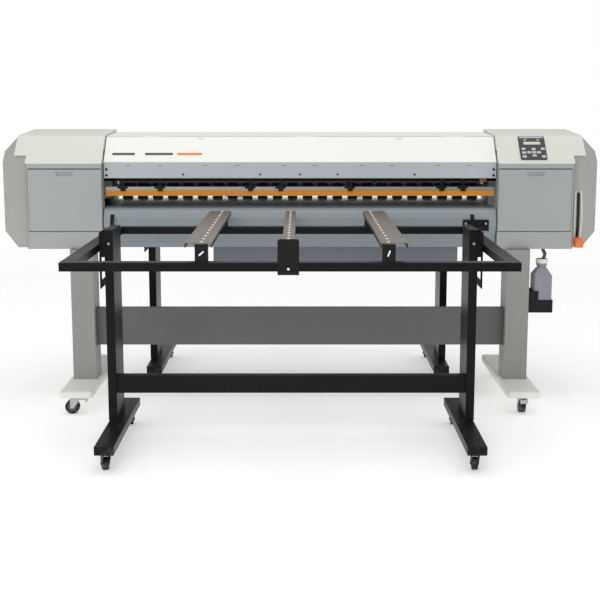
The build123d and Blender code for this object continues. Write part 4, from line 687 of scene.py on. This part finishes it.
class PRINTER_OT_panel_parts(PieceOperator, bpy.types.Operator):
    """Header, display and keys of the control panel"""
    bl_idname = "printer.panel_parts"
    bl_label = "Panel parts"

    def build(self):
        low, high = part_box("control_panel")
        size = high - low
        tilt = atan2(size.z, size.y)
        face = Vector((0, -sin(tilt), cos(tilt))) * 2.5 * MM
        self.place = Matrix.Translation((low + high) / 2 + face) @ Matrix.Rotation(tilt, 4, "X")
        self.add("panel_header", "key", [(0, 65, 108, 9)], 0.9)
        self.add("panel_display", "display", [(0, 28, 78, 17)], 0.7)
        self.add("panel_lamps", "key", [(-30, 49, 13, 7), (30, 49, 13, 7)], 0.7)
        key = setting("details", "key") / MM
        self.add("panel_keys", "key", [(x, y, key + 4, key) for x, y in PANEL_LAYOUT], 1.3)

    def add(self, name, material, parts, proud):
        """Low plates on the panel's face: middle, width and height in millimetres."""
        mesh = bmesh.new()
        for x, y, width, height in parts:
            add_block(mesh, ((x - width / 2) * MM, (y - height / 2) * MM, -0.5 * MM),
                      ((x + width / 2) * MM, (y + height / 2) * MM, proud * MM))
        mesh.transform(self.place)
        finish_piece(mesh, name, "root", material, 0.5 * MM)


class PRINTER_OT_lever_parts(PieceOperator, bpy.types.Operator):
    """Light crescents beside the lever's slot"""
    bl_idname = "printer.lever_parts"
    bl_label = "Lever parts"

    def build(self):
        joint = next(j for j in frame["joints"] if j["name"] == "lever_swing")
        pivot = Vector(joint["pos_m"])
        strip_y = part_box("right_side_cover")[0].y + 9 * MM
        reach = (pivot.y - strip_y) * tan(SLOT_HALF_ANGLE) + 18 * MM
        bow = 12 * MM
        radius = (reach ** 2 + bow ** 2) / (2 * bow)
        centre = Vector((0, strip_y - bow + radius, pivot.z))
        turn = 2 * atan2(reach, radius - bow)
        mesh = bmesh.new()
        for side in (-1, 1):
            x0, x1 = sorted((pivot.x + side * CRESCENT_NEAR, pivot.x + side * CRESCENT_FAR))
            rim = [mesh.verts.new((x, centre.y - radius + depth, pivot.z)) for x, depth in
                   ((x0, 0), (x1, 0), (x1, CRESCENT_DEPTH), (x0, CRESCENT_DEPTH))]
            profile = mesh.faces.new(rim)
            bmesh.ops.rotate(mesh, verts=rim, cent=centre, matrix=Matrix.Rotation(-turn / 2, 3, "X"))
            ends = list(profile.edges) + rim + [profile]
            bmesh.ops.spin(mesh, geom=ends, cent=centre, axis=(1, 0, 0), angle=turn, steps=18,
                           use_merge=False)
        bmesh.ops.remove_doubles(mesh, verts=mesh.verts, dist=1e-6)
        for vert in mesh.verts:
            bulge = 1 - ((vert.co.z - pivot.z) / reach) ** 2
            vert.co.x += (1 if vert.co.x > pivot.x else -1) * 5 * MM * max(bulge, 0.0)
        bmesh.ops.holes_fill(mesh, edges=[e for e in mesh.edges if e.is_boundary], sides=4)
        finish_piece(mesh, "slot_crescents", "root", "cover_light", 1.2 * MM)


class PRINTER_OT_bed_parts(PieceOperator, bpy.types.Operator):
    """Dark discs of painted shade standing in for the bed's suction holes, encoder strip, sensor and the apron's
    catch plate
    """
    bl_idname = "printer.bed_parts"
    bl_label = "Bed parts"

    def build(self):
        low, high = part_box("platen")
        # The suction holes are flat near-black discs on the bed: painted shade, not real holes.
        holes = bmesh.new()
        count, rows = 58, 4
        for i in range(count):
            x = low.x + (i + 0.5) * (high.x - low.x) / count
            for row in range(rows):
                y = low.y + (18 + 27 * row + 9 * (i % 2)) * MM
                add_disc(holes, (x, y, high.z), "z", 1.6 * MM, 0.3 * MM, 8)
        finish_piece(holes, "suction_holes", "root", "painted_shade")
        rail_low, rail_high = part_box("carriage_rail")
        strip = bmesh.new()
        add_block(strip, (rail_low.x + 30 * MM, rail_low.y - 4 * MM, rail_high.z - 24 * MM),
                  (rail_high.x - 30 * MM, rail_low.y - 3.5 * MM, rail_high.z - 14 * MM))
        for x in (rail_low.x + 24 * MM, rail_high.x - 36 * MM):
            add_block(strip, (x, rail_low.y - 6 * MM, rail_high.z - 28 * MM),
                      (x + 12 * MM, rail_low.y + 0.5 * MM, rail_high.z - 10 * MM))
        finish_piece(strip, "encoder_strip", "root", "strip_metal", 0.1 * MM)
        lid_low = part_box("front_cover")[0]
        sensor = bmesh.new()
        add_block(sensor, (SENSOR_X[0], lid_low.y + 26 * MM, lid_low.z - 18 * MM),
                  (SENSOR_X[1], lid_low.y + 40 * MM, lid_low.z + 2 * MM))
        finish_piece(sensor, "edge_sensor", "root", "sensor", 1.5 * MM)
        self.catch_plate()

    def catch_plate(self):
        """Black plate with two screws and a fold at its top, on the right of the apron."""
        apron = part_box("front_apron")
        front = apron[0].y
        top = apron[1].z - 55 * MM
        x0, x1 = CATCH_X
        plate = bmesh.new()
        add_block(plate, (x0, front - 3.5 * MM, top - 52 * MM), (x1, front - 0.5 * MM, top))
        add_block(plate, (x0 + 1 * MM, front - 2.5 * MM, top - 6 * MM),
                  (x1 - 1 * MM, front + 6 * MM, top - 1 * MM))
        finish_piece(plate, "apron_catch", "root", "clamp_black", 0.8 * MM)
        screws = bmesh.new()
        for x in (x0 + 14 * MM, x1 - 14 * MM):
            place = (x, front - 3.5 * MM, top - 18 * MM)
            add_screw(screws, place, (0, -1, 0), setting("details", "screw"), 2.5 * MM)
        finish_piece(screws, "apron_screws", "root", "caster_zinc")


class PRINTER_OT_support_balls(PieceOperator, bpy.types.Operator):
    """White ball rollers of all board supports"""
    bl_idname = "printer.support_balls"
    bl_label = "Ball rollers"

    def build(self):
        front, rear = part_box("front_table_frame"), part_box("rear_table_frame")
        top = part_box("support_left")[1].z
        for node, offset in BALL_OFFSETS.items():
            low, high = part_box(node)
            middle = (low.x + high.x) / 2
            self.row(node + "_balls", node, [middle + offset], front[0].y + 4 * MM, front[1].y - 28 * MM,
                     top)
        self.row("rear_balls", "rear_table", REAR_BALL_XS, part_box("rear_guide")[1].y + 40 * MM,
                 rear[1].y - 4 * MM, rear[1].z)

    def row(self, name, body, xs, start, end, top):
        """Rows of balls at even steps along Y, a hair larger than the CAD's own."""
        mesh = bmesh.new()
        count = int((end - start - 2 * BALL_START) / BALL_PITCH + 1e-6) + 1
        for x in xs:
            for i in range(count):
                centre = (x, start + BALL_START + i * BALL_PITCH, top - BALL_R)
                bmesh.ops.create_uvsphere(mesh, u_segments=20, v_segments=12, radius=BALL_R + BALL_SHELL,
                                          matrix=Matrix.Translation(centre))
        finish_piece(mesh, name, body, "nylon")


class PRINTER_OT_frame_bolts(PieceOperator, bpy.types.Operator):
    """Bolts of the stand, of both tables and of the brackets"""
    bl_idname = "printer.frame_bolts"
    bl_label = "Frame bolts"

    def build(self):
        bolt = setting("details", "bolt")
        self.stand(bolt)
        self.table("front_table", "front_table_legs", "front_table_frame", bolt)
        self.table("rear_table", "rear_table_legs", "rear_table_frame", bolt)
        self.brackets(bolt)

    def stand(self, bolt):
        """Two bolts on the outside of each column."""
        beam_low, beam_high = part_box("stand_beam")
        mesh = bmesh.new()
        for side in (-1, 1):
            x = side * beam_high.x + side * 105 * MM
            for z in (beam_low.z + 40 * MM, beam_high.z - 40 * MM):
                add_screw(mesh, (x, (beam_low.y + beam_high.y) / 2, z), (side, 0, 0), bolt, 4.5 * MM)
        finish_piece(mesh, "stand_bolts", "root", "caster_zinc")

    def table(self, body, legs, rails, bolt):
        """A bolt at the front and back of each leg's head, and a cap on top of it."""
        low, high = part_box(legs)
        rail_low, rail_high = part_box(rails)
        spread = (rail_high.x - rail_low.x - LEG_INSET) / 2
        xs = [(low.x + high.x) / 2 + side * spread for side in (-1, 1)]
        front = min(v.co.y for v in NODES[legs].data.vertices if abs(v.co.z - high.z) < MM)
        back = front + LEG_DEPTH
        mesh = bmesh.new()
        for x in xs:
            add_screw(mesh, (x, front, high.z - 52 * MM), (0, -1, 0), bolt, 4 * MM)
            add_screw(mesh, (x, back, high.z - 52 * MM), (0, 1, 0), bolt, 4 * MM)
        finish_piece(mesh, body + "_leg_bolts", body, "caster_zinc")
        caps = bmesh.new()
        for x in xs:
            add_block(caps, (x - LEG_WIDTH / 2, front, high.z - 0.2 * MM),
                      (x + LEG_WIDTH / 2, back, high.z + 2.4 * MM))
        finish_piece(caps, body + "_leg_caps", body, "clamp_black", 0.9 * MM)

    def brackets(self, bolt):
        """Bolts at the lower end of the front table's brackets."""
        low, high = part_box("front_table_brackets")
        mesh = bmesh.new()
        for x in (low.x, high.x):
            inward = 1 if x < 0 else -1
            for y in (low.y + 24 * MM, high.y - 24 * MM):
                place = (x + inward * 0.5 * MM, y, low.z + 16 * MM)
                add_screw(mesh, place, (inward, 0, 0), 0.7 * bolt, 2.5 * MM)
        finish_piece(mesh, "bracket_bolts", "front_table", "caster_zinc")


class PRINTER_OT_front_parts(PieceOperator, bpy.types.Operator):
    """Painted shade strips in the gaps over the doors, the bottle's cap ring, and bolts of the board supports"""
    bl_idname = "printer.front_parts"
    bl_label = "Front parts"

    def build(self):
        self.seals()
        self.cap()
        self.support_bolts()

    def seals(self):
        """A near-black strip in the gap over each door: painted shade that deepens the shadow line there."""
        for side in ("left", "right"):
            low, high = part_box(side + "_door")
            mesh = bmesh.new()
            add_block(mesh, (low.x + 2 * MM, low.y - 0.5 * MM, high.z + 0.6 * MM),
                      (high.x - 2 * MM, low.y + 5 * MM, high.z + 4.2 * MM))
            finish_piece(mesh, side + "_door_seal", "root", "painted_shade", 0.5 * MM)

    def cap(self):
        """A light ring round the bottle's neck."""
        mesh = bmesh.new()
        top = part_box("waste_bottle")[1].z
        rim = [v.co for v in NODES["waste_bottle"].data.vertices if v.co.z > top - 4 * MM]
        neck = (max(v.x for v in rim) - min(v.x for v in rim)) / 2
        centre = (max(v.x for v in rim) - neck, max(v.y for v in rim) - neck, top - 10 * MM)
        bmesh.ops.create_cone(mesh, cap_ends=False, segments=40, radius1=neck + 3.0 * MM,
                              radius2=neck + 2.4 * MM, depth=19 * MM, matrix=Matrix.Translation(centre))
        bmesh.ops.solidify(mesh, geom=list(mesh.faces), thickness=2.6 * MM)
        finish_piece(mesh, "bottle_cap_ring", "bottle", "nylon", 0.5 * MM)

    def support_bolts(self):
        """A slanted light bar on each outer post, and a bolt on the middle plate."""
        bolt = setting("details", "bolt")
        for node, lean in (("support_left", radians(-50)), ("support_right", radians(-20))):
            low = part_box(node)[0]
            foot = [v.co.x for v in NODES[node].data.vertices if v.co.z < low.z + 5 * MM]
            x = (min(foot) + max(foot)) / 2
            mesh = bmesh.new()
            verts = add_block(mesh, (-3 * MM, -1.2 * MM, -11 * MM), (3 * MM, 0.4 * MM, 11 * MM))
            middle = Vector((x, self.front_of(node, low.z + 30 * MM), low.z + 32 * MM))
            bmesh.ops.transform(mesh, verts=verts,
                                matrix=Matrix.Translation(middle) @ Matrix.Rotation(-lean, 4, "Y"))
            finish_piece(mesh, node + "_bolt", node, "nylon", 1 * MM)
        low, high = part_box("support_center")
        mesh = bmesh.new()
        place = ((low.x + high.x) / 2, low.y + 1.5 * MM, low.z + 22 * MM)
        add_screw(mesh, place, (0, -1, 0), 0.8 * bolt, 4 * MM)
        finish_piece(mesh, "support_center_bolt", "support_center", "nylon")

    def front_of(self, node, z):
        """How far forward a support reaches below a height."""
        return min(v.co.y for v in NODES[node].data.vertices if v.co.z < z)


class PRINTER_OT_caster_parts(PieceOperator, bpy.types.Operator):
    """Hub caps of all wheels"""
    bl_idname = "printer.caster_parts"
    bl_label = "Caster parts"

    wheels = {
        "left_caster_wheel": "left_wheel", "right_caster_wheel": "right_wheel",
        "rear_caster_wheels": "rear_wheels",
        "table_left_wheel": "table_left_wheel", "table_right_wheel": "table_right_wheel",
        "table_back_wheels": "table_back_wheels", "rear_table_front_wheels": "rear_table_front_wheels",
        "rear_table_back_wheels": "rear_table_back_wheels",
    }

    def build(self):
        for node, body in self.wheels.items():
            low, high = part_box(node)
            radius = (high.z - low.z) / 2
            width = 30 * MM if radius > 30 * MM else 22 * MM
            joint = next(j for j in frame["joints"] if j["child"] == body)
            axle = Vector(joint["axis"])
            pair = high.x - low.x > 4 * radius
            xs = (low.x + width / 2, high.x - width / 2) if pair else ((low.x + high.x) / 2,)
            mesh = bmesh.new()
            for x in xs:
                centre = Vector((x, (low.y + high.y) / 2, (low.z + high.z) / 2))
                for side in (-1, 1):
                    self.hub(mesh, centre + axle * side * (width / 2 - 0.6 * MM), axle * side, radius)
            finish_piece(mesh, body + "_hubs", body, "station_grey")

    def hub(self, mesh, centre, normal, radius):
        """A dished cap with a ring step round the axle."""
        before = set(mesh.verts)
        made = add_disc(mesh, (0, 0, -1.5 * MM), "z", 0.66 * radius, 3 * MM, 28)
        face = max({f for v in made for f in v.link_faces}, key=lambda f: f.calc_center_median().z)
        for step, rise in ((0.10, 1.0), (0.14, -0.4), (0.16, 0.9)):
            bmesh.ops.inset_region(mesh, faces=[face], thickness=step * radius)
            bmesh.ops.translate(mesh, verts=face.verts, vec=(0, 0, rise * MM))
        turn = normal.to_track_quat("Z", "Y").to_matrix().to_4x4()
        bmesh.ops.transform(mesh, verts=list(set(mesh.verts) - before),
                            matrix=Matrix.Translation(centre) @ turn)


class PRINTER_OT_rear_parts(PieceOperator, bpy.types.Operator):
    """Louvres of the rear cover and of the end covers"""
    bl_idname = "printer.rear_parts"
    bl_label = "Rear parts"

    def build(self):
        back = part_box("rear_cover")
        mesh = bmesh.new()
        for x in (-0.62, -0.21, 0.21, 0.62):
            self.louvres(mesh, x, back[1].y, back[0].z + 60 * MM, 9, 120 * MM)
        finish_piece(mesh, "rear_louvres", "root", "lid_white", 0.5 * MM)
        for side, node in (("left", "left_end_cover"), ("right", "right_end_cover")):
            low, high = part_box(node)
            mesh = bmesh.new()
            self.louvres(mesh, (low.x + high.x) / 2, high.y, low.z + 110 * MM, 12, 180 * MM)
            finish_piece(mesh, side + "_end_louvres", "root", "cover_light", 0.5 * MM)

    def louvres(self, mesh, x, y, z, count, width):
        """A column of raised louvre blades."""
        for i in range(count):
            base = z + i * LOUVRE_STEP
            verts = add_block(mesh, (x - width / 2, y - 0.5 * MM, base),
                              (x + width / 2, y + LOUVRE_PROUD, base + LOUVRE_HEIGHT))
            outer = [v for v in verts if v.co.y > y and v.co.z > base + 3 * MM]
            bmesh.ops.translate(mesh, verts=outer, vec=(0, -3.5 * MM, 0))


class PRINTER_OT_hose(PieceOperator, bpy.types.Operator):
    """Drain hose from the machine's floor into the bottle"""
    bl_idname = "printer.hose"
    bl_label = "Hose"

    route = [(1.124, 0.0485, 0.722), (1.124, 0.0485, 0.706), (1.139, 0.0405, 0.686), (1.1235, 0.0345, 0.662)]

    def build(self):
        data = bpy.data.curves.new("drain_hose_line", "CURVE")
        data.dimensions = "3D"
        data.bevel_depth = 8 * MM
        data.bevel_resolution = 5
        data.use_fill_caps = True
        spline = data.splines.new("NURBS")
        spline.points.add(len(self.route) - 1)
        for point, place in zip(spline.points, self.route):
            point.co = (*place, 1.0)
        spline.order_u = 3
        spline.use_endpoint_u = True
        line = bpy.data.objects.new("drain_hose_line", data)
        bpy.context.scene.collection.objects.link(line)
        bpy.context.view_layer.update()
        mesh = bpy.data.meshes.new_from_object(line.evaluated_get(bpy.context.evaluated_depsgraph_get()))
        bpy.data.objects.remove(line)
        mesh.materials.clear()
        mesh.materials.append(finish("hose_plastic"))
        mesh.shade_smooth()
        hose = bpy.data.objects.new("drain_hose_tube", mesh)
        bpy.context.scene.collection.objects.link(hose)
        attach(hose, "root")
        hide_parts("drain_hose")
        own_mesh(hose)


OPERATORS = (PRINTER_OT_studio, PRINTER_OT_coats, PRINTER_OT_lid_parts, PRINTER_OT_panel_parts,
             PRINTER_OT_lever_parts, PRINTER_OT_bed_parts, PRINTER_OT_support_balls, PRINTER_OT_frame_bolts,
             PRINTER_OT_front_parts, PRINTER_OT_caster_parts, PRINTER_OT_rear_parts, PRINTER_OT_hose)


class PRINTER_PT_panel(bpy.types.Panel):
    """Lists the settings and the operators"""
    bl_idname = "PRINTER_PT_panel"
    bl_label = "Wide-format printer"
    bl_space_type = "VIEW_3D"
    bl_region_type = "UI"
    bl_category = "Printer"

    def draw(self, context):
        for operator in OPERATORS:
            self.layout.operator(operator.bl_idname)
        for group, kind in GROUPS.items():
            box = self.layout.box()
            for name in kind.__annotations__:
                box.prop(getattr(context.scene, "printer_" + group), name)


def register():
    for kind in (*GROUPS.values(), *OPERATORS, PRINTER_PT_panel):
        bpy.utils.register_class(kind)
    for name, kind in GROUPS.items():
        setattr(bpy.types.Scene, "printer_" + name, bpy.props.PointerProperty(type=kind))


def unregister():
    for name in GROUPS:
        delattr(bpy.types.Scene, "printer_" + name)
    for kind in (PRINTER_PT_panel, *OPERATORS, *GROUPS.values()):
        bpy.utils.unregister_class(kind)


def main():
    register()
    for operator in OPERATORS:
        group, name = operator.bl_idname.split(".")
        getattr(getattr(bpy.ops, group), name)()


if __name__ == "__main__":
    main()
